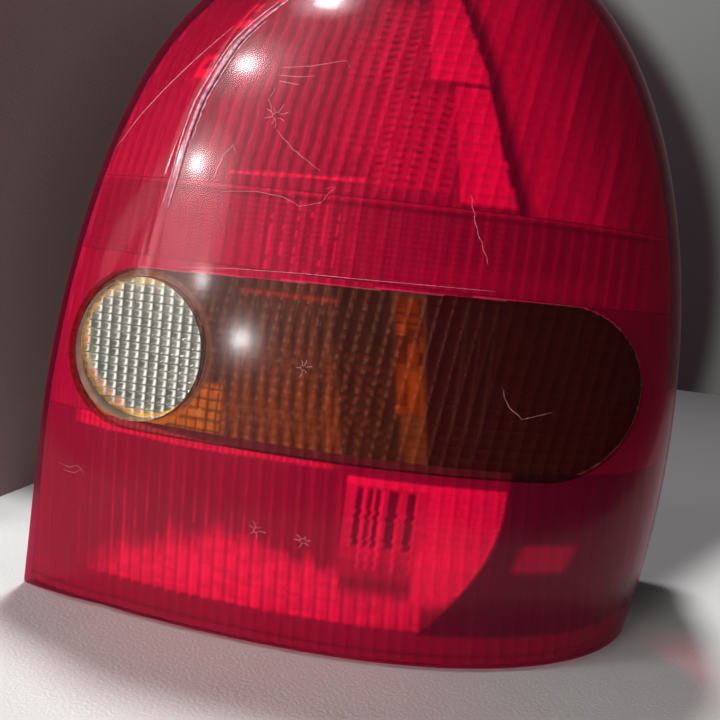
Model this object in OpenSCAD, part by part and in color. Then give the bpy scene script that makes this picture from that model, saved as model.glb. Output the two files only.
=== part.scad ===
// Rear lamp cluster for the right-hand corner of a small hatchback, taken off the car.
// The lamp faces -Y, its outer side is +X, and it stands on its foot at Z = 0, its origin in the foot.

/* [Lens form] */
// Width of the lens across its foot
lens_w = 214; // [205:1:225]
// Height of the lens
lens_h = 254; // [246:1:270]
// Wall of the lens
lens_t = 2.6; // [2.2:0.1:3]
// Height at which the edges begin to turn towards the crown
edge_rise = 121; // [110:1:130]
// How far the inner edge draws in low down
inner_low = 5; // [2:0.5:10]
// How far the inner edge swells out high up
inner_high = 10; // [5:0.5:14]
// How far the outer edge swells out low down
outer_low = 21; // [14:0.5:26]
// How far the outer edge draws in high up
outer_high = 13; // [8:0.5:20]
// Sideways place of the crown
crown_x = 12; // [5:0.5:18]
// Depth of the crown behind the front of the foot
crown_depth = 89; // [86:0.5:94]
// Distance of the foot's middle behind the front of the foot
foot_y = 30; // [26:1:34]
// Lean of the front low down
front_low = 1; // [0:0.5:4]
// Lean of the front high up
front_high = 12; // [8:0.5:16]
// Depth of the wrap round the outer corner at the foot
wrap_depth = 98; // [92:1:104]
// Sideways place of the foremost line at the foot
ridge_low = -28; // [-36:1:-20]
// Sideways place of the foremost line high up
ridge_high = -46; // [-54:1:-38]
// Squareness of the corner in plan
round_power = 2.3; // [2:0.05:2.8]
// Width of the flank between the inner edge and the crease
flank_w = 30; // [24:1:34]
// Drop of the flank at the foot
flank_low = 6; // [4:0.5:8]
// Drop of the flank at the top
flank_high = 16; // [12:0.5:17]

/* [Lens zones] */
// Height of the plain skirt under the flutes
skirt_top = 12; // [9:0.5:16]
// Underside of the smoked window
window_low = 64; // [62:0.5:67]
// Top of the smoked window
window_high = 121; // [118:0.5:123]
// Top of the reflex band
band_high = 145; // [142:0.5:147]
// Top of the fluted part of the upper chamber
stop_high = 228; // [220:1:234]
// Distance of the reversing lens from the inner edge
reversing_inset = 38; // [36:0.5:42]
// Distance of the window's round end from the outer edge
window_inset = 39.5; // [34:0.5:48]
// Radius of the reversing lens
reversing_r = 24; // [21:0.5:25]
// Radius of the window's round end about the reversing lens
window_inner_r = 27; // [26:0.25:28]
// Height of the reversing lens
reversing_z = 90; // [88:0.5:92]
// Depth of the flat back of the reversing lens behind the front of the foot
reversing_back = 11.8; // [11:0.1:12.6]
// Number of prism columns in the reversing lens
prism_cols = 13; // [10:1:16]
// Number of prism rows in the reversing lens
prism_rows = 17; // [12:1:20]
// Height of a prism
prism_h = 1.4; // [0.8:0.1:1.8]
// Number of flutes across the inside of the lens
flute_count = 42; // [30:1:46]
// Depth of a flute
flute_h = 0.7; // [0.4:0.1:0.9]

/* [Rim] */
// Depth of the rim plane at the middle of the foot
rim_depth = 58; // [57:0.5:60]
// Turn of the rim plane towards the outer side, in degrees
rim_turn = 22; // [21:0.5:23]
// Lean of the rim plane, in degrees
rim_lean = 9; // [8.5:0.25:9.5]
// Width of the housing's flange
flange_w = 5; // [4.5:0.25:6.5]
// Thickness of the housing's flange
flange_t = 3; // [2.5:0.25:4]
// Height of the tongue that locates the lens
tongue_h = 3; // [2:0.5:3.5]
// Thickness of the tongue
tongue_t = 1.5; // [1.2:0.1:1.8]
// Width of the sealant groove
sealant_w = 1.2; // [0.8:0.1:1.4]
// Depth of the sealant groove
sealant_d = 1.2; // [0.8:0.1:1.8]

/* [Housing] */
// Depth of the housing behind the rim plane
housing_d = 28; // [26:0.5:31]
// Wall of the housing
housing_t = 2.5; // [2:0.1:3]
// Step from the flange in to the housing's side wall
housing_step = 1.5; // [1:0.1:1.9]
// Radius of a stud
stud_r = 3; // [2.5:0.25:3.5]
// Radius of the knurled end of a stud
shank_r = 3.75; // [3.5:0.25:4.5]
// Free length of a stud behind the housing
stud_l = 20; // [14:1:26]
// Length of a stud inside its boss
stud_hold = 14; // [10:1:15]
// Radius of a stud boss
boss_r = 7; // [6:0.25:8]
// Place of the upper stud across the lamp
stud_upper_x = 50; // [46:1:54]
// Height of the upper stud
stud_upper_z = 194; // [188:1:198]
// Distance of the outer stud from the outer edge
stud_outer_in = 30; // [26:1:34]
// Height of the outer stud
stud_outer_z = 40; // [34:1:50]
// Distance of the inner stud from the inner edge
stud_inner_in = 37; // [32:1:42]
// Height of the inner stud
stud_inner_z = 133; // [128:1:138]
// Width of the foam seal to the body
body_seal_w = 4.5; // [3.5:0.25:5]
// Thickness of the foam seal to the body
body_seal_t = 5; // [3:0.5:8]

/* [Reflectors] */
// Wall of a reflector
reflector_t = 1.6; // [1.2:0.1:2]
// Distance of the stop reflector's outer wall from the outer edge at its foot
stop_inset = 61; // [57:1:67]
// Inner side of the stop reflector's outer wall at its top
stop_outer_top = 4; // [0:1:10]
// Margin of the stop reflector inside the lens edge
stop_margin = 11; // [10:0.5:14]
// Gap between the reversing reflector and the turn reflector
turn_gap = 1.5; // [1.5:0.25:4]
// Width of the turn reflector
turn_w = 70; // [62:1:76]
// Distance of the fog reflector from the inner edge
fog_inset = 25; // [20:1:37]
// Distance of the fog reflector's top from the outer edge
fog_outset = 51; // [47:1:59]
// Draft of the fog reflector's outer wall
fog_draft = 13; // [6:1:18]
// Thickness of the amber filter and of the reflex backing
filter_t = 2; // [1.5:0.1:2.5]
// Distance of the amber filter's inner end from the middle of the reversing lens
filter_start = 12; // [8:0.5:16]
// Distance of the reflex backing from the inner edge
backing_in = 12; // [10:0.5:16]
// Distance of the reflex backing from the outer edge
backing_out = 20; // [16:0.5:26]

/* [Bulbs] */
// Radius of a bulb cap
cap_r = 7.5; // [7:0.1:7.7]
// Length of a bulb cap
cap_l = 18; // [17:0.25:19]
// Radius of a bulb glass
glass_r = 12.5; // [11.5:0.1:12.8]
// Length of a bulb glass
glass_l = 34.5; // [32:0.5:35]
// Wall of a bulb glass
glass_t = 0.8; // [0.5:0.1:1]
// Distance of the stop and tail bulb from the inner edge
stop_in = 89; // [85:0.5:93]
// Height of the stop and tail bulb
stop_z = 183; // [180:0.5:188]
// Distance of the turn bulb from the inner edge
turn_in = 100; // [98:0.5:102]
// Height of the turn bulb
turn_z = 91; // [89:0.5:93]
// Distance of the fog bulb from the inner edge
fog_in = 90; // [88:0.5:92]
// Height of the fog bulb
fog_z = 34; // [33:0.5:35]
// Height of a filament above its cap
filament_h = 13; // [11:0.5:14]
// Radius of a filament's supports
support_r = 0.5; // [0.4:0.05:0.6]

/* [Bulb carrier] */
// Thickness of the carrier plate
plate_t = 3.2; // [2.8:0.1:4]
// Margin of the plate round a bulb's axis
plate_margin = 16.5; // [16:0.1:17]
// Thickness of the foam seal under the plate
seal_t = 2; // [1.5:0.25:3]
// Width of the foam seal under the plate
seal_w = 2; // [1.5:0.1:2.4]
// Length of a socket in front of the plate
socket_l = 14; // [12:0.5:15]
// Wall of a socket
socket_t = 2; // [1.6:0.1:2.4]
// Width of a latch
latch_w = 10; // [8:0.5:12]
// Thickness of a latch
latch_t = 1.8; // [1.4:0.1:2.2]
// Reach of a latch's nose
latch_nose = 1.2; // [0.8:0.1:1.5]
// Width of a contact track
track_w = 3; // [2.4:0.1:3.2]
// Thickness of a contact track
track_t = 0.8; // [0.6:0.1:1]
// Spacing of the plug's blades
blade_pitch = 5; // [4.6:0.1:5.2]
// Length of a plug blade
blade_l = 11; // [8:0.5:12]
// Depth of the plug shroud
shroud_d = 14; // [12:0.5:16]
// Clear height inside the plug shroud
shroud_h = 14.5; // [13:0.5:16]
// Distance of the plug from the inner edge
plug_in = 91.5; // [90.5:0.25:92]
// Height of the plug
plug_z = 137.5; // [136:0.5:140]
// Distance of the tracks' side runs from the carrier's edge
run_edge = 4; // [3.5:0.25:5]
// Height of the stop track's crossing above the plug
stop_run = 22; // [18:1:26]
// Height of the turn track's crossing above the turn bulb
turn_run = 19; // [17:0.5:21]
// Height of the reversing track's crossing above the reversing bulb
reversing_run = 12; // [11:0.25:13]
// Drop of the fog track's crossing below the plug
fog_run = 11; // [10:0.25:12]

/* [Fits] */
// Gap between pieces that seat on each other inside the lens
seat_gap = 0.3; // [0.2:0.05:0.4]
// Gap round a bulb cap in its socket
cap_gap = 0.25; // [0.15:0.05:0.35]
// Gap round a bulb glass in its hole
hole_gap = 0.7; // [0.5:0.1:1]
// Gap between a track and the moulding beside it
track_gap = 0.3; // [0.2:0.05:0.4]
// Gap round a stud in its boss
stud_gap = 0.05; // [0.02:0.01:0.1]

/* [Hidden] */
$fn = 64;

// Reach of cutting solids well past the lamp
far = 220;
// Last slice of the loft, just short of the point where the edges meet
last_v = 0.975;
outer_rows = 26;
outer_cols = 28;
flank_cols = 4;
row_step = 15;
belt = 1.2;
fluted_t = lens_t + flute_h;
filter_in = fluted_t + seat_gap;
filter_out = filter_in + filter_t;
reversing_x = reversing_inset - lens_w / 2;
back_y = reversing_back - foot_y;
inner_x = -lens_w / 2;
window_end = lens_w / 2 - window_inset;
band_margin = 2.5;
cell_gap = 2;
bowl_grow = 1.5;
turn_inner = reversing_x + reversing_r + bowl_grow + turn_gap;
turn_outer = turn_inner + turn_w;
stop_outer = lens_w / 2 - stop_inset;
fog_inner = inner_x + fog_inset;
fog_outer = lens_w / 2 - fog_outset;
hole_r = glass_r + hole_gap;
floor_y = housing_d - housing_t;
plate_y = housing_d + seal_t;
track_y = plate_y + plate_t;
cap_floor = 1.5;
tip_y = track_y - cap_floor;
cap_y = tip_y - cap_l;
socket_r = cap_r + cap_gap;
pin_angle = 45;
pin_back = 7;
contact_r = 2.5;

// Bulb axes and the plug, as places on the rim plane
stop_p = on_rim(inner_x + stop_in, stop_z);
turn_p = on_rim(inner_x + turn_in, turn_z);
fog_p = on_rim(inner_x + fog_in, fog_z);
reversing_p = on_rim(reversing_x + 1, reversing_z - 1.5);
plug_p = on_rim(inner_x + plug_in, plug_z);
bulb_ps = [stop_p, turn_p, reversing_p, fog_p];
ground_angles = [0, 0, -90, 0];
stud_ps = [on_rim(stud_upper_x, stud_upper_z), on_rim(lens_w / 2 - stud_outer_in, stud_outer_z),
    on_rim(inner_x + stud_inner_in, stud_inner_z)];

// A cubic curve through four handles
function bez(v, a, b, c, d) =
    pow(1 - v, 3) * a + 3 * pow(1 - v, 2) * v * b + 3 * (1 - v) * v * v * c + pow(v, 3) * d;
function ease(s) = let(c = min(1, max(0, s))) c * c * (3 - 2 * c);
function height_at(v) = bez(v, 0, edge_rise, lens_h, lens_h);
function inner_edge(v) = bez(v, -lens_w / 2, inner_low - lens_w / 2, -inner_high - lens_w / 2, crown_x);
function outer_edge(v) = bez(v, lens_w / 2, lens_w / 2 + outer_low, lens_w / 2 - outer_high, crown_x);
function front_at(v) = bez(v, 0, front_low, front_high, crown_depth) - foot_y;
function wrap_at(v) = wrap_depth + (crown_depth - wrap_depth) * v - foot_y;
function ridge_at(v) = bez(v, ridge_low, ridge_low, ridge_high, crown_x);
// Where the loft reaches a height, by halving
function v_at(z, lo = 0, hi = 1, n = 22) =
    let(mid = (lo + hi) / 2) n == 0 ? mid : height_at(mid) < z ? v_at(z, mid, hi, n - 1) : v_at(z, lo, mid, n - 1);
// A height in the lens, seen from a loft whose top and foot are drawn in by t
function drawn_in(z, t) = t + z * (lens_h - 2 * t) / lens_h;
function drawn_out(z, t) = (z - t) * lens_h / (lens_h - 2 * t);
// The place on the rim plane that lies at x and z of the lamp
function on_rim(x, z) =
    let(up = z / cos(rim_lean)) [(x + up * sin(rim_lean) * sin(rim_turn)) / cos(rim_turn), up];

// One plan section of the lens, drawn in by t, its front waved in depth by flute
function section(v, t, flute, cols) =
    let(z = drawn_in(height_at(v), t),
        xl = inner_edge(v) + t,
        xr = outer_edge(v) - t,
        yf = front_at(v) + t,
        yr = wrap_at(v),
        xo = min(ridge_at(v), xr - 4),
        w = min(flank_w, 0.4 * (xr - xl)),
        xc = xl + w,
        a = xr - xo,
        b = yr - yf,
        start = acos(max(-1, min(1, (xc < xo ? -1 : 1) * pow(abs(xc - xo) / a, round_power / 2)))),
        yc = yr - b * pow(sin(start), 2 / round_power),
        sharp = ease((z - 100) / 60),
        drop = (flank_low + (flank_high - flank_low) * ease((z - 60) / 120)) * (1 - ease(5 * v - 4)))
    concat([[xl, far, z]],
        [for (i = [0 : flank_cols - 1])
            let(s = 1 - i / flank_cols)
            [xc - w * s, yc + drop * (sharp * s + (1 - sharp) * s * s), z]],
        [for (i = [0 : cols])
            let(q = start * (1 - i / cols), c = cos(q), wave = i % 2 == 1 && i < cols - 3 ? flute : 0)
            [xo + a * sign(c) * pow(abs(c), 2 / round_power), yr - b * pow(sin(q), 2 / round_power) + wave, z]],
        [[xr, far, z]]);

// A closed loft through a list of sections
module loft(sections) {
    k = len(sections[0]);
    n = len(sections);
    sides = [for (j = [0 : n - 2], i = [0 : k - 1])
        let(a = j * k + i, b = j * k + (i + 1) % k)
        each [[a, b + k, b], [a, a + k, b + k]]];
    polyhedron([for (s = sections) each s],
        concat(sides, [[for (i = [0 : k - 1]) i], [for (i = [k - 1 : -1 : 0]) (n - 1) * k + i]]));
}

outer_vs = [for (j = [0 : outer_rows]) last_v * j / outer_rows];

// The outer form of the lens, or only the rows that reach past two heights
module outer_form(low = 0, high = 1000) {
    step = lens_h / outer_rows * 1.6;
    loft([for (v = outer_vs) if (height_at(v) > low - step && height_at(v) < high + step)
        section(v, 0, 0, outer_cols)]);
}

// Rows of the inner form: a fluted zone starts and ends in a plain belt
function zone_rows(low, high) =
    let(n = ceil((high - low - 2 * belt) / row_step))
    concat([[low, 0]], [for (i = [0 : n]) [low + belt + (high - low - 2 * belt) * i / n, flute_h]], [[high, 0]]);
inner_levels = concat([[lens_t, 0]], zone_rows(skirt_top, window_low - 1),
    zone_rows(window_low + 1, window_high - 1), zone_rows(window_high + 1, band_high),
    zone_rows(band_high + 2, stop_high));

module inner_form(low = 0, high = 1000) {
    top_v = v_at(drawn_out(stop_high, lens_t));
    fluted = [for (r = inner_levels) if (r[0] > low - 1.5 * row_step && r[0] < high + 1.5 * row_step)
        section(v_at(drawn_out(r[0], lens_t)), lens_t, r[1], 2 * flute_count)];
    crown = [for (j = [1 : 6]) if (high > lens_h)
        section(top_v + (last_v - top_v) * j / 6, lens_t, 0, 2 * flute_count)];
    loft(concat(fluted, crown));
}

// A plain form drawn in by t, between two heights, for the pieces that follow the inside of the lens
module plain_form(t, low, high, cols = outer_cols) {
    n = ceil((high - low) / row_step);
    loft([for (i = [0 : n]) section(v_at(drawn_out(low + (high - low) * i / n, t)), t, 0, cols)]);
}

// The front outline of the lens, drawn in by t, with its foot at a chosen height
module edge_outline(t, foot) {
    vs = [for (v = outer_vs) if (outer_edge(v) - inner_edge(v) > 2 * t + 4) v];
    n = len(vs) - 1;
    rise = (lens_h - t - foot) / lens_h;
    polygon(concat([for (v = vs) [inner_edge(v) + t, foot + height_at(v) * rise]],
        [for (i = [0 : n]) let(v = vs[n - i]) [outer_edge(v) - t, foot + height_at(v) * rise]]));
}

// Raises a front view into a solid between two depths
module along_y(y0, y1) {
    translate([0, y1, 0]) rotate([90, 0, 0]) linear_extrude(y1 - y0) children();
}

// The frame of the rim plane: its own X across, Z up and Y straight back out of the lamp
module rim_frame() {
    translate([0, rim_depth - foot_y, 0]) rotate([0, 0, rim_turn]) rotate([-rim_lean, 0, 0]) children();
}

module rim_slab(y0, y1) {
    rim_frame() translate([-far, y0, -far]) cube([2 * far, y1 - y0, 3 * far]);
}

// A turned form about an axis square to the rim plane, drawn as radius and depth
module rim_turned(p) {
    rim_frame() translate([p[0], 0, p[1]]) rotate([-90, 0, 0]) rotate_extrude() children();
}

module rim_rod(p, r, y0, y1) {
    rim_frame() translate([p[0], y0, p[1]]) rotate([-90, 0, 0]) cylinder(r = r, h = y1 - y0);
}

module rim_plate(y0, y1) {
    rim_frame() along_y(y0, y1) children();
}

// A ring that follows the lens edge between two slabs of the rim frame
module edge_ring(t0, t1, y0, y1, foot0, foot1) {
    intersection() {
        along_y(-far, far) difference() {
            edge_outline(t0, foot0);
            edge_outline(t1, foot1);
        }
        rim_slab(y0, y1);
    }
}

module window_outline() {
    hull() {
        translate([reversing_x, reversing_z]) circle(window_inner_r);
        translate([window_end, (window_high + window_low) / 2]) circle((window_high - window_low) / 2);
    }
}

module reversing_outline(grow = 0) {
    translate([reversing_x, reversing_z]) circle(reversing_r + grow);
}

// Lens mouldings
module red_lens() {
    color("crimson") difference() {
        outer_form();
        inner_form();
        rim_slab(0, 2 * far);
        along_y(-far, far / 2) window_outline();
    }
}

module smoked_window() {
    color([0.25, 0.08, 0.09]) difference() {
        intersection() {
            outer_form(window_low, window_high);
            along_y(-far, far / 2) window_outline();
        }
        inner_form(window_low, window_high);
        along_y(-far, far) reversing_outline();
    }
}

// Square pyramids on the flat back of the reversing lens, only the ones that lie whole inside its edge
module prism_field() {
    w = 2 * reversing_r / prism_cols;
    h = 2 * reversing_r / prism_rows;
    nc = prism_cols + 1;
    m = nc * (prism_rows + 1);
    inside = [for (j = [0 : prism_rows - 1]) [for (i = [0 : prism_cols - 1])
        let(dx = (abs(i + 0.5 - prism_cols / 2) + 0.5) * w, dz = (abs(j + 0.5 - prism_rows / 2) + 0.5) * h)
        dx * dx + dz * dz < pow(reversing_r - 0.6, 2)]];
    grid = [for (y = [back_y + 0.3, back_y - 0.5], j = [0 : prism_rows], i = [0 : prism_cols])
        [reversing_x - reversing_r + i * w, y, reversing_z - reversing_r + j * h]];
    tips = [for (j = [0 : prism_rows - 1], i = [0 : prism_cols - 1])
        [reversing_x - reversing_r + (i + 0.5) * w, back_y + prism_h, reversing_z - reversing_r + (j + 0.5) * h]];
    function has(j, i) = j >= 0 && j < prism_rows && i >= 0 && i < prism_cols && inside[j][i];
    faces = [for (j = [0 : prism_rows - 1], i = [0 : prism_cols - 1]) if (has(j, i))
        let(a = j * nc + i, b = a + 1, c = a + 1 + nc, d = a + nc, t = 2 * m + j * prism_cols + i)
        each concat([[a, b, t], [b, c, t], [c, d, t], [d, a, t], [a + m, d + m, b + m], [b + m, d + m, c + m]],
            has(j - 1, i) ? [] : [[a, a + m, b], [b, a + m, b + m]],
            has(j, i + 1) ? [] : [[b, b + m, c], [c, b + m, c + m]],
            has(j + 1, i) ? [] : [[c, c + m, d], [d, c + m, d + m]],
            has(j, i - 1) ? [] : [[d, d + m, a], [a, d + m, a + m]])];
    polyhedron(concat(grid, tips), faces);
}

module reversing_lens() {
    color([0.85, 0.88, 0.86]) union() {
        intersection() {
            outer_form(reversing_z - reversing_r, reversing_z + reversing_r);
            along_y(-far, back_y) reversing_outline();
        }
        prism_field();
    }
}

// A sheet that follows the inside of the lens between two heights
module inner_sheet(low, high) {
    difference() {
        plain_form(filter_in, low, high);
        plain_form(filter_out, low - 5, high + 5);
    }
}

module amber_filter() {
    color("darkorange") difference() {
        intersection() {
            inner_sheet(window_low - 5, window_high + 5);
            along_y(-far, far / 2) intersection() {
                offset(delta = -1) window_outline();
                translate([reversing_x + filter_start, 0])
                    square([turn_outer + cell_gap - reversing_x - filter_start, far]);
            }
        }
        along_y(-far, far) reversing_outline(bowl_grow + seat_gap);
    }
}

module reflex_backing() {
    color("white") intersection() {
        inner_sheet(window_high - 5, band_high + 5);
        along_y(-far, far / 2) translate([inner_edge(0.4) + backing_in, window_high + band_margin])
            square([outer_edge(0.4) - inner_edge(0.4) - backing_in - backing_out,
                band_high - window_high - 2 * band_margin + 1]);
    }
}

module rim_sealant() {
    side = (lens_t - sealant_w) / 2;
    color("black") edge_ring(side, side + sealant_w, 0, sealant_d, side, side + sealant_w);
}

// Housing
module latch_slots() {
    for (l = latches) rim_frame() translate([l[0], 0, l[1]]) rotate([0, -l[2], 0])
        translate([-seat_gap, floor_y - 1, -latch_w / 2 - seat_gap])
            cube([latch_t + 2 * seat_gap, housing_t + 2, latch_w + 2 * seat_gap]);
}

module housing() {
    wall_in = housing_step + housing_t;
    groove = (lens_t - sealant_w) / 2;
    color([0.16, 0.16, 0.17]) difference() {
        union() {
            edge_ring(0, flange_w, 0, flange_t, 0, flange_w);
            edge_ring(lens_t + seat_gap, lens_t + seat_gap + tongue_t, -tongue_h, 1,
                lens_t + seat_gap, lens_t + seat_gap + tongue_t);
            edge_ring(housing_step, wall_in, flange_t - 1, housing_d, 0, housing_t);
            intersection() {
                along_y(-far, far) edge_outline(housing_step, 0);
                rim_slab(floor_y, housing_d);
            }
            for (p = stud_ps) rim_rod(p, boss_r, housing_d - stud_hold - 2, housing_d);
        }
        edge_ring(groove, groove + sealant_w, -0.01, sealant_d, groove, groove + sealant_w);
        for (p = bulb_ps) rim_rod(p, hole_r, floor_y - 1, housing_d + 1);
        for (p = stud_ps) rim_rod(p, shank_r + stud_gap, housing_d - stud_hold, housing_d + 1);
        latch_slots();
    }
}

// Everything in front of a bulb's dish: a flat seat, then a parabola of a given focal length
module dish_space(p, base_y, seat_r, focal) {
    rim_turned(p) polygon(concat([[0, -far], [0, base_y]],
        [for (i = [0 : 10]) let(r = seat_r + (110 - seat_r) * pow(i / 10, 1.4))
            [r, max(-far + 1, base_y - (r * r - seat_r * seat_r) / (4 * focal))]],
        [[111, -far]]));
}

// A reflector: walls on a front outline, closed at the back by a dish round the bulb's hole
module reflector_cell(p, focal) {
    seat_r = hole_r + 2.5;
    difference() {
        intersection() {
            children(0);
            dish_space(p, floor_y, seat_r, focal);
        }
        intersection() {
            children(1);
            dish_space(p, floor_y - reflector_t, seat_r, focal);
        }
        rim_rod(p, hole_r, -far / 4, far / 4);
    }
}

module stop_outline(t) {
    offset(delta = -t) intersection() {
        polygon([[-far, band_high + 3], [stop_outer, band_high + 3], [stop_outer_top, stop_high + 8],
            [-far, stop_high + 8]]);
        edge_outline(stop_margin, stop_margin);
    }
}

module stop_reflector() {
    color("silver") reflector_cell(stop_p, 20) {
        intersection() {
            along_y(-far, far) stop_outline(0);
            plain_form(filter_in, band_high - 4, stop_high + 13);
        }
        along_y(-far, far) stop_outline(reflector_t);
    }
}

module turn_outline(t) {
    translate([turn_inner + t, window_low + cell_gap + t])
        square([turn_outer - turn_inner - 2 * t, window_high - window_low - 2 * cell_gap - 2 * t]);
}

module turn_reflector() {
    color("silver") reflector_cell(turn_p, 18) {
        intersection() {
            along_y(-far, far) turn_outline(0);
            plain_form(filter_out + seat_gap, window_low - 5, window_high + 5);
        }
        along_y(-far, far) turn_outline(reflector_t);
    }
}

module reversing_reflector() {
    front = back_y + prism_h + seat_gap;
    color("silver") reflector_cell(reversing_p, 13) {
        along_y(front, far) reversing_outline(bowl_grow);
        along_y(front - 1, far) reversing_outline(bowl_grow - reflector_t);
    }
}

module fog_outline(t) {
    offset(delta = -t) polygon([[fog_inner, skirt_top], [fog_outer - fog_draft, skirt_top],
        [fog_outer, window_low - 3 * cell_gap], [fog_inner, window_low - 3 * cell_gap]]);
}

module fog_reflector() {
    color("silver") reflector_cell(fog_p, 20) {
        intersection() {
            along_y(-far, far) fog_outline(0);
            plain_form(filter_in, skirt_top - 5, window_low);
        }
        along_y(-far, far) fog_outline(reflector_t);
    }
}

// Bulb carrier
plate_left = reversing_p[0] - plate_margin;
plate_right = turn_p[0] + plate_margin;
plate_low = fog_p[1] - plate_margin;
plate_step = reversing_p[1] + plate_margin;
neck_left = stop_p[0] - plate_margin;
plate_high = stop_p[1] + plate_margin;
// Latches: place on the plate's edge, and the way the nose points, in degrees
latches = [[reversing_p[0] + 15, plate_step, 90], [fog_p[0] - 18, plate_low, -90],
    [plate_right, plug_p[1] + 14, 0]];

module plate_outline(t) {
    offset(r = 3) offset(delta = -3 - t) union() {
        translate([plate_left, plate_low]) square([plate_right - plate_left, plate_step - plate_low]);
        translate([neck_left, plate_low]) square([plate_right - neck_left, plate_high - plate_low]);
    }
}

module latch(l) {
    nose_y = floor_y - seat_gap - 1.5;
    rim_frame() translate([l[0], 0, l[1]]) rotate([0, -l[2], 0]) translate([0, 0, -latch_w / 2]) {
        translate([-1, plate_y, 0]) cube([1 + latch_t, plate_t, latch_w]);
        translate([0, nose_y, 0]) cube([latch_t, track_y - nose_y, latch_w]);
        translate([latch_t - 0.01, nose_y, 0]) cube([latch_nose, floor_y - seat_gap - nose_y, latch_w]);
    }
}

// A box beside a bulb's axis, turned about that axis
module beside(p, angle, r0, r1, w, y0, y1) {
    rim_frame() translate([p[0], 0, p[1]]) rotate([0, -angle, 0]) translate([r0, y0, -w / 2])
        cube([r1 - r0, y1 - y0, w]);
}

module shroud_box(grow, over) {
    w = 5 * blade_pitch + 5 + 2 * grow;
    h = shroud_h + 2 * grow;
    rim_frame() translate([plug_p[0] - w / 2, track_y - over, plug_p[1] - h / 2])
        cube([w, shroud_d + 2 * over, h]);
}

module bulb_carrier() {
    color([0.85, 0.84, 0.8]) difference() {
        union() {
            rim_plate(plate_y, track_y) plate_outline(0);
            for (p = bulb_ps) rim_rod(p, socket_r + socket_t, plate_y - socket_l, plate_y + 0.01);
            for (l = latches) latch(l);
            difference() {
                shroud_box(1.5, 0);
                shroud_box(0, 1);
            }
        }
        for (p = bulb_ps) {
            rim_rod(p, socket_r, plate_y - socket_l - 1, tip_y);
            rim_rod(p, contact_r + track_gap, tip_y - 1, track_y + 1);
            beside(p, pin_angle, -socket_r - socket_t - 1, socket_r + socket_t + 1, 2.6,
                plate_y - socket_l - 1, tip_y - pin_back + 1.4);
        }
        for (i = [0 : 3]) beside(bulb_ps[i], ground_angles[i], cap_r - 0.1, cap_r + 1.1 + track_gap,
            track_w + 2 * track_gap, tip_y - pin_back + 1, track_y + 1);
        rim_plate(track_y, track_y + track_t + track_gap) offset(delta = track_gap) all_paths();
    }
}

module carrier_seal() {
    color([0.1, 0.1, 0.1]) rim_plate(housing_d, plate_y) difference() {
        plate_outline(0.5);
        plate_outline(0.5 + seal_w);
    }
}

// Contact tracks: straight runs from the plug to each bulb
function blade_p(i) = [plug_p[0] + (i - 2) * blade_pitch, plug_p[1]];
rail_x = plate_right - run_edge;
low_z = plate_low + run_edge - 0.5;
stop_path = [blade_p(3), [blade_p(3)[0], plug_p[1] + stop_run], [stop_p[0], plug_p[1] + stop_run], stop_p];
turn_path = [blade_p(2), [blade_p(2)[0], turn_p[1] + turn_run], [turn_p[0], turn_p[1] + turn_run], turn_p];
side_x = neck_left + run_edge;
fog_side = side_x + blade_pitch;
reversing_path = [blade_p(0), [side_x, plug_p[1]], [side_x, reversing_p[1] + reversing_run],
    [reversing_p[0], reversing_p[1] + reversing_run], reversing_p];
fog_path = [blade_p(1), [blade_p(1)[0], plug_p[1] - fog_run], [fog_side, plug_p[1] - fog_run],
    [fog_side, fog_p[1]], fog_p];
tab_r = cap_r + 0.5;
ground_paths = [[blade_p(4), [rail_x, plug_p[1]]],
    [[stop_p[0] + tab_r, stop_p[1]], [rail_x, stop_p[1]], [rail_x, low_z], [reversing_p[0], low_z],
        [reversing_p[0], reversing_p[1] - tab_r]],
    [[turn_p[0] + tab_r, turn_p[1]], [rail_x, turn_p[1]]],
    [[fog_p[0] + tab_r, fog_p[1]], [rail_x, fog_p[1]]]];

// A run of strip with square corners
module strip(path) {
    for (i = [0 : len(path) - 2]) {
        a = path[i];
        b = path[i + 1];
        low = [min(a[0], b[0]), min(a[1], b[1])] - [track_w, track_w] / 2;
        high = [max(a[0], b[0]), max(a[1], b[1])] + [track_w, track_w] / 2;
        translate(low) square(high - low);
    }
}

module ground_strips() {
    for (path = ground_paths) strip(path);
}

module all_paths() {
    strip(stop_path);
    strip(turn_path);
    strip(reversing_path);
    strip(fog_path);
    ground_strips();
}

module blade(i) {
    p = blade_p(i);
    rim_frame() translate([p[0] - 1.4, track_y, p[1] - track_t / 2]) cube([2.8, blade_l, track_t]);
}

module feed_track(path, p, i) {
    color("goldenrod") union() {
        rim_plate(track_y, track_y + track_t) strip(path);
        rim_rod(p, contact_r, tip_y, track_y + track_t / 2);
        blade(i);
    }
}

module stop_track() { feed_track(stop_path, stop_p, 3); }
module turn_track() { feed_track(turn_path, turn_p, 2); }
module reversing_track() { feed_track(reversing_path, reversing_p, 0); }
module fog_track() { feed_track(fog_path, fog_p, 1); }

module ground_track() {
    color("goldenrod") union() {
        rim_plate(track_y, track_y + track_t) ground_strips();
        for (i = [0 : 3]) beside(bulb_ps[i], ground_angles[i], cap_r + 0.1, cap_r + 0.9, track_w,
            tip_y - pin_back + 1.5, track_y + track_t / 2);
        blade(4);
    }
}

// Bulbs, drawn as radius and depth along their axes
module bulb_glass(p) {
    ball_y = cap_y - glass_l + glass_r;
    color([0.9, 0.95, 1, 0.5]) rim_turned(p) difference() {
        intersection() {
            union() {
                translate([0, ball_y]) circle(glass_r);
                translate([0, ball_y]) square([cap_r - 0.5, cap_y - ball_y]);
            }
            translate([0, -far]) square([far, 2 * far]);
        }
        translate([0, ball_y]) circle(glass_r - glass_t);
        translate([-1, ball_y]) square([cap_r - 0.5 - glass_t + 1, cap_y - glass_t - ball_y]);
    }
}

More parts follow.
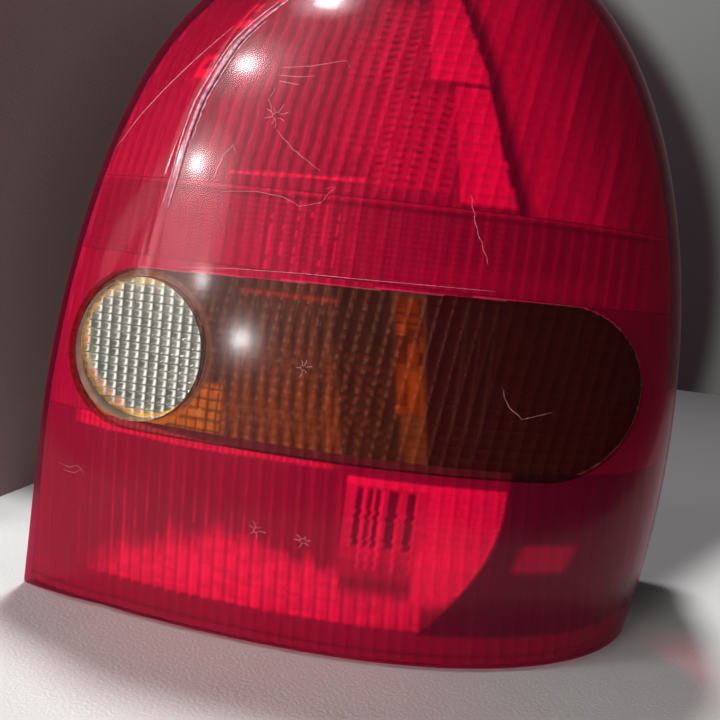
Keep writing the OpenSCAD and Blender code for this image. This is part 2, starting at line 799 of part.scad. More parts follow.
module bulb_cap(p) {
    color("gold") union() {
        rim_turned(p) polygon([[0, cap_y], [cap_r, cap_y], [cap_r, tip_y - 3], [cap_r - 2.5, tip_y - 1],
            [contact_r - 0.3, tip_y - 1], [contact_r - 0.3, tip_y], [0, tip_y]]);
        rim_frame() translate([p[0], tip_y - pin_back, p[1]]) rotate([0, -pin_angle, 0]) rotate([0, 90, 0])
            cylinder(r = 1, h = 2 * cap_r + 1.8, center = true);
    }
}

module bulb_filament(p) {
    low = cap_y - glass_t;
    color("gray") rim_frame() translate([p[0], 0, p[1]]) rotate([0, -pin_angle, 0]) union() {
        for (s = [-1, 1]) translate([3 * s, low - filament_h, 0]) rotate([-90, 0, 0])
            cylinder(r = support_r, h = filament_h);
        translate([0, low - filament_h + support_r, 0]) rotate([0, 90, 0]) cylinder(r = 0.8, h = 7, center = true);
    }
}

module stop_bulb_glass() { bulb_glass(stop_p); }
module stop_bulb_cap() { bulb_cap(stop_p); }
module stop_bulb_filament() { bulb_filament(stop_p); }
module turn_bulb_glass() { bulb_glass(turn_p); }
module turn_bulb_cap() { bulb_cap(turn_p); }
module turn_bulb_filament() { bulb_filament(turn_p); }
module reversing_bulb_glass() { bulb_glass(reversing_p); }
module reversing_bulb_cap() { bulb_cap(reversing_p); }
module reversing_bulb_filament() { bulb_filament(reversing_p); }
module fog_bulb_glass() { bulb_glass(fog_p); }
module fog_bulb_cap() { bulb_cap(fog_p); }
module fog_bulb_filament() { bulb_filament(fog_p); }

module body_seal() {
    inset = housing_step + 1;
    color([0.12, 0.12, 0.12]) edge_ring(inset, inset + body_seal_w, housing_d, housing_d + body_seal_t,
        inset, inset + body_seal_w);
}

module mounting_studs() {
    end = housing_d + stud_l;
    color("lightgray") for (p = stud_ps) rim_turned(p) polygon([[0, housing_d - stud_hold],
        [shank_r, housing_d - stud_hold], [shank_r, housing_d], [stud_r, housing_d], [stud_r, end - 1],
        [stud_r - 1, end], [0, end]]);
}

red_lens();
smoked_window();
reversing_lens();
amber_filter();
reflex_backing();
rim_sealant();
housing();
stop_reflector();
turn_reflector();
reversing_reflector();
fog_reflector();
bulb_carrier();
carrier_seal();
stop_track();
turn_track();
reversing_track();
fog_track();
ground_track();
stop_bulb_glass();
stop_bulb_cap();
stop_bulb_filament();
turn_bulb_glass();
turn_bulb_cap();
turn_bulb_filament();
reversing_bulb_glass();
reversing_bulb_cap();
reversing_bulb_filament();
fog_bulb_glass();
fog_bulb_cap();
fog_bulb_filament();
body_seal();
mounting_studs();
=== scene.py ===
"""Right-hand rear lamp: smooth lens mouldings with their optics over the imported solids, finishes, lights, camera."""
import logging
import math
from dataclasses import dataclass, field
from enum import Enum
from typing import Callable, Sequence

import bpy
import numpy as np
from mathutils import Matrix, Vector


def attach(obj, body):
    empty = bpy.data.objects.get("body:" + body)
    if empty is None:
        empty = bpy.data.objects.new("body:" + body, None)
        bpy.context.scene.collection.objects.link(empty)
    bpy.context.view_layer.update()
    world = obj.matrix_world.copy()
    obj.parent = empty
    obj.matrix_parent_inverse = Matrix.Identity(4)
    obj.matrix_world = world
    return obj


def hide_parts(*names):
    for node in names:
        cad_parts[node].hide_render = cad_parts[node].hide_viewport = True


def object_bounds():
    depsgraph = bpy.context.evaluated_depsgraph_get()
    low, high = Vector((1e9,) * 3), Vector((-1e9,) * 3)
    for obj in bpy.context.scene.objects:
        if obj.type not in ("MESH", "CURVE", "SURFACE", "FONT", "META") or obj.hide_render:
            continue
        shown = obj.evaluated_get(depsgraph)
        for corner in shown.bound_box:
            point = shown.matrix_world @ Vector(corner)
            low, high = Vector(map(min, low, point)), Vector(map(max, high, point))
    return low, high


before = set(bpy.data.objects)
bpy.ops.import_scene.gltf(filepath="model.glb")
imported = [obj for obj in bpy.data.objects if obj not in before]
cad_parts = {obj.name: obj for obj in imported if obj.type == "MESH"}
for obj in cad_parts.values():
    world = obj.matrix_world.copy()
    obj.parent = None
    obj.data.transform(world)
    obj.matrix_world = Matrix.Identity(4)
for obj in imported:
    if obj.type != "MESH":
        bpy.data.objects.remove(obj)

CAD_BOX = [list(corner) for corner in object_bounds()]
LOG = logging.getLogger("rear_lamp")
MM = 0.001
FRAME_PIXELS = 720
SENSOR_WIDTH = 36.0
Array = np.ndarray
Colour = tuple[float, float, float]
Path = Sequence[tuple[float, float]]


def ease(s: Array) -> Array:
    """Returns a smooth step from 0 to 1 as s goes from 0 to 1."""
    c = np.clip(s, 0.0, 1.0)
    return c * c * (3 - 2 * c)


def soft_box(value: Array, low: float | Array, high: float | Array, blur: float) -> Array:
    """Returns 1 between low and high and 0 outside.

    Args:
        value: Places to test.
        low: Lower limit.
        high: Upper limit.
        blur: Width over which the edge fades.

    Returns:
        The share of each place that lies inside.
    """
    return ease((value - low) / blur + 0.5) * ease((high - value) / blur + 0.5)


def hashed(*cells: Array) -> Array:
    """Mixes cell addresses into repeatable numbers.

    Args:
        *cells: The addresses of each place, one array per direction.

    Returns:
        A number between 0 and 1 for each place.
    """
    total = np.zeros_like(np.asarray(cells[0], dtype=float))
    for k, cell in enumerate(cells):
        total = total + np.asarray(cell, dtype=float) * (12.9898 + 65.2331 * k)
    return np.abs(np.sin(total) * 43758.5453) % 1.0


def linear(red: int, green: int, blue: int) -> Colour:
    """Turns a display colour into linear values.

    Args:
        red: Red from 0 to 255.
        green: Green from 0 to 255.
        blue: Blue from 0 to 255.

    Returns:
        The three linear values.
    """
    def one(c: float) -> float:
        """Returns one channel as a linear value."""
        c = c / 255
        return c / 12.92 if c <= 0.04045 else ((c + 0.055) / 1.055) ** 2.4
    return one(red), one(green), one(blue)


@dataclass(frozen=True)
class LensForm:
    """The form of the lens, as plan sections along a rising curve. Sizes are in millimetres.

    Attributes:
        drop_from: Height above which the flank starts to drop further back.
        drop_over: Height over which it does so.
        sharp_from: Height above which the crease starts to sharpen.
        sharp_over: Height over which it does so.
        flank_part: Largest part of the width that the flank takes.
        ridge_gap: Least distance of the ridge from the outer edge.
        closing: Part of the way up that the turned-in foot, and the crown, each take.
        inner_side: Part of the way round where the inner side wall ends.
        crease_at: Part of the way round where the crease lies.
        outer_side: Part of the way round where the outer side wall starts.
        gather: How the sections of the flank gather towards its edge.
        groove_at: Place of the fine groove beside the crease, as a share of the flank.
        groove_half: Half of its width, as such a share.
        groove_top: Height at which the groove runs out.
        loft_end: Part of the loft that the face uses, short of the pole at the crown.
        halvings: Steps in which a height is looked up.
    """

    width: float = 214.0
    height: float = 254.0
    edge_rise: float = 121.0
    inner_low: float = 5.0
    inner_high: float = 10.0
    outer_low: float = 21.0
    outer_high: float = 13.0
    crown_x: float = 12.0
    crown_depth: float = 89.0
    front_low: float = 1.0
    front_high: float = 12.0
    wrap_depth: float = 98.0
    ridge_low: float = -28.0
    ridge_high: float = -46.0
    round_power: float = 2.3
    flank_width: float = 34.8
    flank_low: float = 6.0
    flank_high: float = 16.0
    foot_back: float = 30.0
    rim_depth: float = 58.0
    rim_turn: float = 22.0
    rim_lean: float = 9.0
    wall: float = 2.6
    crease_round: float = 0.09
    groove_at: float = 0.075
    groove_depth: float = 0.35
    groove_half: float = 0.012
    groove_top: float = 232.0
    drop_from: float = 60.0
    drop_over: float = 120.0
    sharp_from: float = 100.0
    sharp_over: float = 60.0
    flank_part: float = 0.4
    ridge_gap: float = 4.0
    closing: float = 0.03
    loft_end: float = 0.975
    inner_side: float = 0.05
    crease_at: float = 0.18
    outer_side: float = 0.92
    gather: float = 1.6
    halvings: int = 26

    @staticmethod
    def curve(v: Array, a: float, b: float, c: float, d: float) -> Array:
        """Returns the cubic curve through four handles at v."""
        return (1 - v) ** 3 * a + 3 * (1 - v) ** 2 * v * b + 3 * (1 - v) * v * v * c + v ** 3 * d

    def level(self, v: Array) -> Array:
        """Returns the height that the loft reaches at v."""
        return self.curve(v, 0, self.edge_rise, self.height, self.height)

    def rise_to(self, z: Array) -> Array:
        """Finds where the loft reaches a height, by halving.

        Args:
            z: Heights.

        Returns:
            The share v of the way up the loft.
        """
        low = np.zeros_like(z)
        high = np.ones_like(z)
        for _ in range(self.halvings):
            mid = (low + high) / 2
            under = self.level(mid) < z
            low = np.where(under, mid, low)
            high = np.where(under, high, mid)
        return (low + high) / 2

    def drawn_in(self, z: Array, t: float) -> Array:
        """Returns the height of a loft whose foot and top are drawn in by t."""
        return t + z * (self.height - 2 * t) / self.height

    def drawn_out(self, z: Array, t: float) -> Array:
        """Returns the height in the outer loft that a drawn-in height came from."""
        return (z - t) * self.height / (self.height - 2 * t)

    def rim_y(self, x: Array, z: Array) -> Array:
        """Returns the depth of the rim plane at x and z."""
        turn, lean = math.radians(self.rim_turn), math.radians(self.rim_lean)
        return self.rim_depth - self.foot_back + x * math.tan(turn) + z * math.tan(lean) / math.cos(turn)

    def measures(self, v: Array, t: float) -> dict[str, Array]:
        """Measures the plan section at one rise of the loft.

        Args:
            v: Share of the way up the loft.
            t: How far the face is drawn in.

        Returns:
            The measures by name: heights, edges, ridge, crease, half axes and how sharp the crease is.
        """
        z = self.drawn_in(self.level(v), t)
        left = self.curve(v, -self.width / 2, self.inner_low - self.width / 2, -self.inner_high - self.width / 2,
                          self.crown_x) + t
        right = self.curve(v, self.width / 2, self.width / 2 + self.outer_low, self.width / 2 - self.outer_high,
                           self.crown_x) - t
        front = self.curve(v, 0, self.front_low, self.front_high, self.crown_depth) - self.foot_back + t
        back = self.wrap_depth + (self.crown_depth - self.wrap_depth) * v - self.foot_back
        ridge = np.minimum(self.curve(v, self.ridge_low, self.ridge_low, self.ridge_high, self.crown_x),
                           right - self.ridge_gap)
        crease = left + np.minimum(self.flank_width, self.flank_part * (right - left))
        a, b = right - ridge, back - front
        ratio = np.abs(crease - ridge) / a
        start = np.arccos(np.clip(np.where(crease < ridge, -1, 1) * ratio ** (self.round_power / 2), -1, 1))
        crease_y = back - b * np.sin(start) ** (2 / self.round_power)
        lower = ease((z - self.drop_from) / self.drop_over)
        drop = (self.flank_low + (self.flank_high - self.flank_low) * lower) * (1 - ease(5 * v - 4))
        return {"z": z, "left": left, "right": right, "back": back, "ridge": ridge, "crease": crease, "a": a, "b": b,
                "start": start, "crease_y": crease_y, "drop": drop,
                "sharp": ease((z - self.sharp_from) / self.sharp_over)}

    def flank_y(self, m: dict[str, Array], s: Array) -> Array:
        """Returns the depth of the flank at share s of the way from the crease to the edge, its crease rounded."""
        straight = np.sqrt(s * s + self.crease_round ** 2) - self.crease_round
        return m["crease_y"] + m["drop"] * (m["sharp"] * straight + (1 - m["sharp"]) * s * s)

    def front(self, x: Array, z: Array, t: float = 0.0) -> Array:
        """Returns the depth of the face at x and z.

        Args:
            x: Places across the lamp.
            z: Heights.
            t: How far the face is drawn in.

        Returns:
            The depth, for places inside the outline.
        """
        m = self.measures(self.rise_to(self.drawn_out(z, t)), t)
        n = self.round_power
        share = np.clip((x - m["ridge"]) / m["a"], -1, 0.99999)
        face = m["back"] - m["b"] * (1 - np.abs(share) ** n) ** (1 / n)
        s = np.clip((m["crease"] - x) / (m["crease"] - m["left"]), 0, 1)
        return np.where(x < m["crease"], self.flank_y(m, s), face)

    def wrapped(self, u: Array, w: Array, t: float) -> Array:
        """Returns places on the whole face, walls, foot and crown included.

        Args:
            u: Share of the way round, from the inner rim to the outer rim.
            w: Share of the way up, from the rim under the foot to the rim at the crown.
            t: How far the face is drawn in.

        Returns:
            An array of places, one row each.
        """
        n = self.round_power
        v = np.clip((w - self.closing) / (1 - 2 * self.closing), 0, 1) * self.loft_end
        m = self.measures(v, t)
        s = (1 - np.clip((u - self.inner_side) / (self.crease_at - self.inner_side), 0, 1)) ** self.gather
        q = m["start"] * (1 - np.clip((u - self.crease_at) / (self.outer_side - self.crease_at), 0, 1))
        side_l = 1 - np.clip(u / self.inner_side, 0, 1)
        side_r = np.clip((u - self.outer_side) / (1 - self.outer_side), 0, 1)
        c = np.cos(q)
        x = np.where(u < self.crease_at, m["crease"] - (m["crease"] - m["left"]) * s,
                     m["ridge"] + m["a"] * np.sign(c) * np.abs(c) ** (2 / n))
        beside = soft_box(s, self.groove_at - self.groove_half, self.groove_at + self.groove_half, 0.02)
        groove = self.groove_depth * m["sharp"] * (t == 0) * beside
        flank = self.flank_y(m, s) + groove * (1 - ease((m["z"] - self.groove_top) / 10))
        y = np.where(u < self.crease_at, flank, m["back"] - m["b"] * np.abs(np.sin(q)) ** (2 / n))
        rim = self.rim_y(x, m["z"])
        y = y + (rim - y) * np.maximum(side_l, side_r)
        closing = np.maximum(1 - np.clip(w / self.closing, 0, 1), np.clip((w - 1 + self.closing) / self.closing, 0, 1))
        y = y + (rim - y) * closing
        return np.stack([x, np.minimum(y, rim), m["z"] + 0 * x], -1)


FORM = LensForm()


class Lit(Enum):
    """The outlines in the lens, as their front view gives them."""

    WINDOW = "window"
    REVERSING = "reversing"


@dataclass(frozen=True)
class Round:
    """A circle in the front view, in millimetres."""

    x: float
    z: float
    radius: float


REVERSING_ROUND = Round(-69.0, 90.0, 24.0)
WINDOW_INNER_END = Round(-69.0, 90.0, 27.0)
WINDOW_OUTER_END = Round(67.5, 92.5, 28.5)
PRISM_SIDES = 160


# --------------------------------------------------------------------------- tools of the bench
def deselect() -> None:
    """Leaves nothing selected."""
    bpy.ops.object.select_all(action="DESELECT")


def activate(obj: bpy.types.Object) -> None:
    """Makes one object the only selected and active one.

    Args:
        obj: The object.
    """
    deselect()
    obj.select_set(True)
    bpy.context.view_layer.objects.active = obj


def grid(name: str, cols: int, rows: int, place: Callable[[Array, Array], Array]) -> bpy.types.Object:
    """Adds a grid and lays it over a surface.

    Args:
        name: Name of the new object.
        cols: Faces across.
        rows: Faces up.
        place: Gives places in millimetres for shares across and up.

    Returns:
        The new object.
    """
    deselect()
    bpy.ops.mesh.primitive_grid_add(x_subdivisions=cols, y_subdivisions=rows, size=2.0)
    obj = bpy.context.object
    obj.name = obj.data.name = name
    count = len(obj.data.vertices)
    flat = np.empty(count * 3)
    obj.data.vertices.foreach_get("co", flat)
    flat = flat.reshape(-1, 3)
    laid = np.clip(place((flat[:, 0] + 1) / 2, (flat[:, 1] + 1) / 2) * MM, CAD_BOX[0], CAD_BOX[1])
    obj.data.vertices.foreach_set("co", laid.ravel())
    obj.data.update()
    return obj


def join(target: bpy.types.Object, *others: bpy.types.Object) -> bpy.types.Object:
    """Joins objects into the first one.

    Args:
        target: The object that stays.
        *others: The objects that go into it.

    Returns:
        The joined object.
    """
    deselect()
    for obj in (target, *others):
        obj.select_set(True)
    bpy.context.view_layer.objects.active = target
    bpy.ops.object.join()
    return target


def close_between(obj: bpy.types.Object) -> None:
    """Bridges the two open borders of a joined pair of grids, and turns the faces outwards.

    Args:
        obj: The joined pair.
    """
    activate(obj)
    bpy.ops.object.mode_set(mode="EDIT")
    bpy.ops.mesh.select_all(action="SELECT")
    bpy.ops.mesh.remove_doubles(threshold=1e-6)
    bpy.ops.mesh.select_all(action="DESELECT")
    bpy.ops.mesh.select_mode(type="EDGE")
    bpy.ops.mesh.select_non_manifold(extend=False, use_wire=True, use_boundary=True, use_multi_face=False,
                                     use_non_contiguous=False, use_verts=False)
    bpy.ops.mesh.bridge_edge_loops()
    bpy.ops.mesh.select_all(action="SELECT")
    bpy.ops.mesh.normals_make_consistent(inside=False)
    bpy.ops.object.mode_set(mode="OBJECT")


def cut(obj: bpy.types.Object, tool: bpy.types.Object, way: str) -> None:
    """Applies a Boolean with a closed tool, and throws the tool away.

    Args:
        obj: Object that is cut.
        tool: The closed tool.
        way: DIFFERENCE or INTERSECT.
    """
    mod = obj.modifiers.new("cut", "BOOLEAN")
    mod.operation = way
    mod.solver = "EXACT"
    mod.object = tool
    activate(obj)
    bpy.ops.object.modifier_apply(modifier=mod.name)
    bpy.data.objects.remove(tool, do_unlink=True)


def twin(obj: bpy.types.Object, name: str) -> bpy.types.Object:
    """Copies an object and its mesh.

    Args:
        obj: The object to copy.
        name: Name of the copy.

    Returns:
        The copy, with a mesh of its own.
    """
    copy = obj.copy()
    copy.data = obj.data.copy()
    copy.name = copy.data.name = name
    bpy.context.collection.objects.link(copy)
    return copy


def smooth(obj: bpy.types.Object, degrees: float = 30.0) -> None:
    """Shades an object smooth, with edges sharper than an angle kept."""
    activate(obj)
    bpy.ops.object.shade_smooth_by_angle(angle=math.radians(degrees))


def outline_prism(kind: Lit, radius: float = REVERSING_ROUND.radius, low: float = -60.0,
                  high: float = 62.0) -> bpy.types.Object:
    """Makes a closed prism on one of the outlines, square to the front view.

    Args:
        kind: Which outline.
        radius: Radius of the round outline, in millimetres.
        low: Depth at which it starts.
        high: Depth at which it ends.

    Returns:
        The prism.
    """
    deselect()
    bpy.ops.mesh.primitive_cylinder_add(vertices=PRISM_SIDES, radius=1.0, depth=(high - low) * MM,
                                        end_fill_type="NGON", location=(0, (low + high) / 2 * MM, 0),
                                        rotation=(math.pi / 2, 0, 0))
    bpy.ops.object.transform_apply(location=True, rotation=True, scale=True)
    prism = bpy.context.object
    for vert in prism.data.vertices:
        cos, sin = vert.co.x, vert.co.z
        if kind is Lit.REVERSING:
            end = Round(REVERSING_ROUND.x, REVERSING_ROUND.z, radius)
        else:
            end = WINDOW_INNER_END if cos < 0 else WINDOW_OUTER_END
        vert.co.x, vert.co.z = (end.x + end.radius * cos) * MM, (end.z + end.radius * sin) * MM
    prism.data.update()
    return prism


# --------------------------------------------------------------------------- finishes
@dataclass
class Shader:
    """A material under construction."""

    name: str
    tree: bpy.types.NodeTree = field(init=False)
    material: bpy.types.Material = field(init=False)
    out: bpy.types.Node = field(init=False)

    def __post_init__(self) -> None:
        """Makes an empty material with its output."""
        self.material = bpy.data.materials.new(self.name)
        self.material.use_nodes = True
        self.tree = self.material.node_tree
        self.tree.nodes.clear()
        self.out = self.node("ShaderNodeOutputMaterial")

    def node(self, kind: str, **values: object) -> bpy.types.Node:
        """Adds a node, with sockets set by name and properties set by attribute.

        Args:
            kind: Blender's node type.
            **values: Socket values with underscores for spaces, or properties of the node.

        Returns:
            The node.
        """
        made = self.tree.nodes.new(kind)
        for key, value in values.items():
            label = key.replace("_", " ")
            if label in made.inputs:
                made.inputs[label].default_value = value
            else:
                setattr(made, key, value)
        return made

    def link(self, source: bpy.types.NodeSocket, target: bpy.types.NodeSocket) -> None:
        """Joins two sockets."""
        self.tree.links.new(source, target)

    def noise(self, scale: float, detail: float = 3.0, stretch: Sequence[float] = (1, 1, 1)) -> bpy.types.NodeSocket:
        """Lays noise over the object's own places.

        Args:
            scale: Scale per metre.
            detail: Number of finer layers.
            stretch: Stretch of the places along the three axes.

        Returns:
            The socket of its value.
        """
        place = self.node("ShaderNodeTexCoord")
        mapping = self.node("ShaderNodeMapping")
        mapping.inputs["Scale"].default_value = stretch
        grain = self.node("ShaderNodeTexNoise", Scale=scale, Detail=detail)
        self.link(place.outputs["Object"], mapping.inputs["Vector"])
        self.link(mapping.outputs["Vector"], grain.inputs["Vector"])
        return grain.outputs["Fac"]

    def ramp(self, source: bpy.types.NodeSocket, stops: Sequence[tuple[float, Colour]]) -> bpy.types.NodeSocket:
        """Lays a colour ramp over a value.

        Args:
            source: The value.
            stops: The places and colours of the ramp.

        Returns:
            The socket of the colour.
        """
        made = self.node("ShaderNodeValToRGB")
        band = made.color_ramp
        while len(band.elements) < len(stops):
            band.elements.new(0.5)
        for element, (place, colour) in zip(band.elements, stops):
            element.position = place
            element.color = (*colour, 1)
        self.link(source, made.inputs["Fac"])
        return made.outputs["Color"]

    def spread(self, source: bpy.types.NodeSocket, kind: str = "LINEAR", **limits: float) -> bpy.types.NodeSocket:
        """Spreads a value from one range to another.

        Args:
            source: The value.
            kind: Blender's way between the limits.
            **limits: The limits that differ from 0 to 1, named as the sockets are.

        Returns:
            The socket of the new value.
        """
        made = self.node("ShaderNodeMapRange", interpolation_type=kind, **limits)
        self.link(source, made.inputs["Value"])
        return made.outputs["Result"]

    def level(self, source: bpy.types.NodeSocket, low: float, high: float) -> bpy.types.NodeSocket:
        """Returns a value spread from the middle of the noise to low and high."""
        return self.spread(source, From_Min=0.3, From_Max=0.7, To_Min=low, To_Max=high)

    def bump(self, source: bpy.types.NodeSocket, strength: float, depth: float) -> bpy.types.NodeSocket:
        """Bends the normal by a height.

        Args:
            source: The height.
            strength: Share of the bend that is kept.
            depth: Height in metres.

        Returns:
            The socket of the normal.
        """
        made = self.node("ShaderNodeBump", Strength=strength, Distance=depth)
        self.link(source, made.inputs["Height"])
        return made.outputs["Normal"]

    def blended(self, under: bpy.types.NodeSocket | Colour, over: bpy.types.NodeSocket | Colour,
                share: bpy.types.NodeSocket) -> bpy.types.NodeSocket:
        """Lays one colour over another.

        Args:
            under: The lower colour, or the socket that gives it.
            over: The upper colour, or the socket that gives it.
            share: Share of the upper colour.

        Returns:
            The socket of the mixed colour.
        """
        mix = self.node("ShaderNodeMix", data_type="RGBA")
        self.link(share, mix.inputs[0])
        for socket, colour in zip(mix.inputs[6:8], (under, over)):
            if isinstance(colour, tuple):
                socket.default_value = (*colour, 1)
            else:
                self.link(colour, socket)
        return mix.outputs[2]

    def product(self, one: bpy.types.NodeSocket, other: bpy.types.NodeSocket) -> bpy.types.NodeSocket:
        """Multiplies two values.

        Args:
            one: The first value.
            other: The second value.

        Returns:
            The socket of the product.
        """
        made = self.node("ShaderNodeMath", operation="MULTIPLY")
        self.link(one, made.inputs[0])
        self.link(other, made.inputs[1])
        return made.outputs[0]

    def sheer(self, face: bpy.types.Node, passing: Colour, share: bpy.types.NodeSocket | float) -> bpy.types.Material:
        """Finishes the material as a face that light also passes through.

        Args:
            face: The shader of the face.
            passing: Colour that light takes on its way through.
            share: Share of the face, as a number or a socket.

        Returns:
            The finished material.
        """
        through = self.node("ShaderNodeBsdfTransparent")
        through.inputs["Color"].default_value = (*passing, 1)
        return self.split(through, face, share)

    def split(self, one: bpy.types.Node, other: bpy.types.Node,
              share: bpy.types.NodeSocket | float) -> bpy.types.Material:
        """Finishes the material as a mix of two shaders.

        Args:
            one: The first shader.
            other: The second shader.
            share: Share of the second shader, as a number or a socket.

        Returns:
            The finished material.
        """
        mix = self.node("ShaderNodeMixShader")
        if isinstance(share, float):
            mix.inputs["Fac"].default_value = share
        else:
            self.link(share, mix.inputs["Fac"])
        self.link(one.outputs[0], mix.inputs[1])
        self.link(other.outputs[0], mix.inputs[2])
        return self.closed(mix)

    def closed(self, shader: bpy.types.Node) -> bpy.types.Material:
        """Links the last shader to the output and returns the material."""
        self.link(shader.outputs[0], self.out.inputs["Surface"])
        return self.material


@dataclass(frozen=True)
class ClearPlastic:
    """A clear tinted moulding: lamps pass through it, and its face is polished.

    Attributes:
        name: Name of the finish.
        body: Colour that the moulding scatters by itself.
        tint: Colour that passes through one wall face.
        cover: Share of the body against what shows through.
        haze: Roughness of the wide sheen left by fine scratches.
        gloss: Roughness of the polished face.
        square_on: What the Fresnel node gives where the face is looked at squarely.
        grazing: Share of the body where the face is looked at along it.
    """

    name: str
    body: Colour
    tint: Colour
    cover: float
    haze: float = 0.36
    gloss: float = 0.115
    square_on: float = 0.034
    grazing: float = 0.62

    def build(self) -> bpy.types.Material:
        """Builds the finish.

        Returns:
            The material.
        """
        s = Shader(self.name)
        face = s.node("ShaderNodeBsdfPrincipled", Roughness=self.haze, IOR=1.6, Coat_Weight=1.0,
                      Coat_Roughness=self.gloss, Coat_IOR=1.7)
        cloud = s.noise(60.0, 4.0)
        low = tuple(0.86 * c for c in self.body)
        high = tuple(min(1.0, 1.12 * c) for c in self.body)
        s.link(s.ramp(cloud, [(0.35, low), (0.65, high)]), face.inputs["Base Color"])
        wear = s.noise(420.0, 6.0, (1.0, 1.0, 0.25))
        s.link(s.level(wear, self.haze - 0.06, self.haze + 0.08), face.inputs["Roughness"])
        s.link(s.bump(s.noise(1500.0, 5.0, (1.0, 1.0, 0.3)), 0.05, 0.0002), face.inputs["Normal"])
        slant = s.node("ShaderNodeFresnel", IOR=1.45).outputs["Fac"]
        share = s.spread(slant, From_Min=self.square_on, To_Min=self.cover, To_Max=self.grazing)
        return s.sheer(face, self.tint, share)


@dataclass(frozen=True)
class InnerFace:
    """The inner face of a clear moulding, which takes no more colour from the light."""

    name: str = "moulding_inner_face"
    cover: float = 0.03

    def build(self) -> bpy.types.Material:
        """Builds the finish.

        Returns:
            The material.
        """
        s = Shader(self.name)
        face = s.node("ShaderNodeBsdfPrincipled", Roughness=0.2, IOR=1.49)
        body = s.ramp(s.noise(90.0), [(0.3, (0.30, 0.02, 0.04)), (0.7, (0.36, 0.03, 0.05))])
        s.link(body, face.inputs["Base Color"])
        return s.sheer(face, (0.99, 0.97, 0.97), self.cover)


@dataclass(frozen=True)
class Optics:
    """Moulded optics seen through a clear wall, with the tone that each rib and cell shows; much of that tone is
    painted light and shade: glows, highlights and reflections of the lit chambers.

    Attributes:
        name: Name of the finish.
        rough: Roughness of the ribs.
        metal: How metallic the light in them looks.
    """

    name: str
    rough: float = 0.35
    metal: float = 0.0

    def build(self) -> bpy.types.Material:
        """Builds the finish.

        Returns:
            The material, which reads the sheet's own tone.
        """
        s = Shader(self.name)
        face = s.node("ShaderNodeBsdfPrincipled", Roughness=self.rough, IOR=1.49, Metallic=self.metal)
        tone = s.node("ShaderNodeAttribute", attribute_name="tone")
        mix = s.node("ShaderNodeMix", data_type="RGBA", blend_type="MULTIPLY")
        mix.inputs[0].default_value = 1.0
        shade = s.ramp(s.noise(700.0, 3.0, (1.0, 1.0, 0.5)), [(0.3, (0.8, 0.8, 0.8)), (0.7, (1.0, 1.0, 1.0))])
        s.link(tone.outputs["Color"], mix.inputs[6])
        s.link(shade, mix.inputs[7])
        s.link(mix.outputs[2], face.inputs["Base Color"])
        s.link(s.bump(s.noise(900.0, 2.0), 0.1, 0.0002), face.inputs["Normal"])
        return s.closed(face)


@dataclass(frozen=True)
class Solid:
    """A solid finish with a fine grain.

    Attributes:
        name: Name of the finish.
        dark: Colour in the hollows of the grain.
        light: Colour on the grain's tops.
        rough: Roughness.
        metal: How metallic it is.
        grain: Scale of the grain per metre.
        relief: Depth of the grain in metres.
        stretch: Stretch of the grain along the three axes.
    """

    name: str
    dark: Colour
    light: Colour
    rough: float = 0.5
    metal: float = 0.0
    grain: float = 900.0
    relief: float = 0.0002
    stretch: Sequence[float] = (1, 1, 1)

    def build(self) -> bpy.types.Material:
        """Builds the finish.

        Returns:
            The material.
        """
        s = Shader(self.name)
        face = s.node("ShaderNodeBsdfPrincipled", Roughness=self.rough, Metallic=self.metal)
        grain = s.noise(self.grain, 4.0, self.stretch)
        s.link(s.ramp(grain, [(0.35, self.dark), (0.65, self.light)]), face.inputs["Base Color"])
        s.link(s.level(s.noise(self.grain / 6, 3.0), max(0.03, self.rough - 0.08), self.rough + 0.1),
               face.inputs["Roughness"])
        s.link(s.bump(grain, 0.35, self.relief), face.inputs["Normal"])
        return s.closed(face)


@dataclass(frozen=True)
class BulbGlass:
    """Thin blown glass."""

    name: str = "bulb_glass_clear"

    def build(self) -> bpy.types.Material:
        """Builds the finish.

        Returns:
            The material: mostly clear, with bright edges.
        """
        s = Shader(self.name)
        face = s.node("ShaderNodeBsdfPrincipled", Roughness=0.04, IOR=1.5)
        body = s.ramp(s.noise(80.0), [(0.3, (0.8, 0.83, 0.85)), (0.7, (0.95, 0.97, 0.98))])
        s.link(body, face.inputs["Base Color"])
        slant = s.node("ShaderNodeLayerWeight", Blend=0.25).outputs["Facing"]
        return s.sheer(face, (0.97, 0.98, 0.99), slant)


def dress(obj: bpy.types.Object, *materials: bpy.types.Material) -> None:
    """Gives an object its materials.

    Args:
        obj: The object.
        *materials: Its materials, in slot order.
    """
    while len(obj.data.materials) < len(materials):
        obj.data.materials.append(None)
    for k, material in enumerate(materials):
        obj.data.materials[k] = material
        if k < len(obj.material_slots):
            obj.material_slots[k].material = material


# --------------------------------------------------------------------------- optics behind the clear walls
Tone = Callable[[Array, Array], Array]


def paint_tone(obj: bpy.types.Object, tone: Tone, violet: float = 0.0) -> None:
    """Writes the tone of each corner of a mesh into its "tone" attribute.

    Args:
        obj: The object to paint.
        tone: Colour at each place of the front view, in millimetres.
        violet: Share of the red that is also shown in blue.
    """
    count = len(obj.data.vertices)
    flat = np.empty(count * 3)
    obj.data.vertices.foreach_get("co", flat)
    flat = flat.reshape(-1, 3) / MM
    rgb = np.clip(tone(flat[:, 0], flat[:, 2]), 0, 1)
    rgb[:, 2] = np.maximum(rgb[:, 2], violet * rgb[:, 0])
    layer = obj.data.color_attributes.new("tone", "FLOAT_COLOR", "POINT")
    layer.data.foreach_set("color", np.concatenate([rgb, np.ones((count, 1))], 1).ravel())


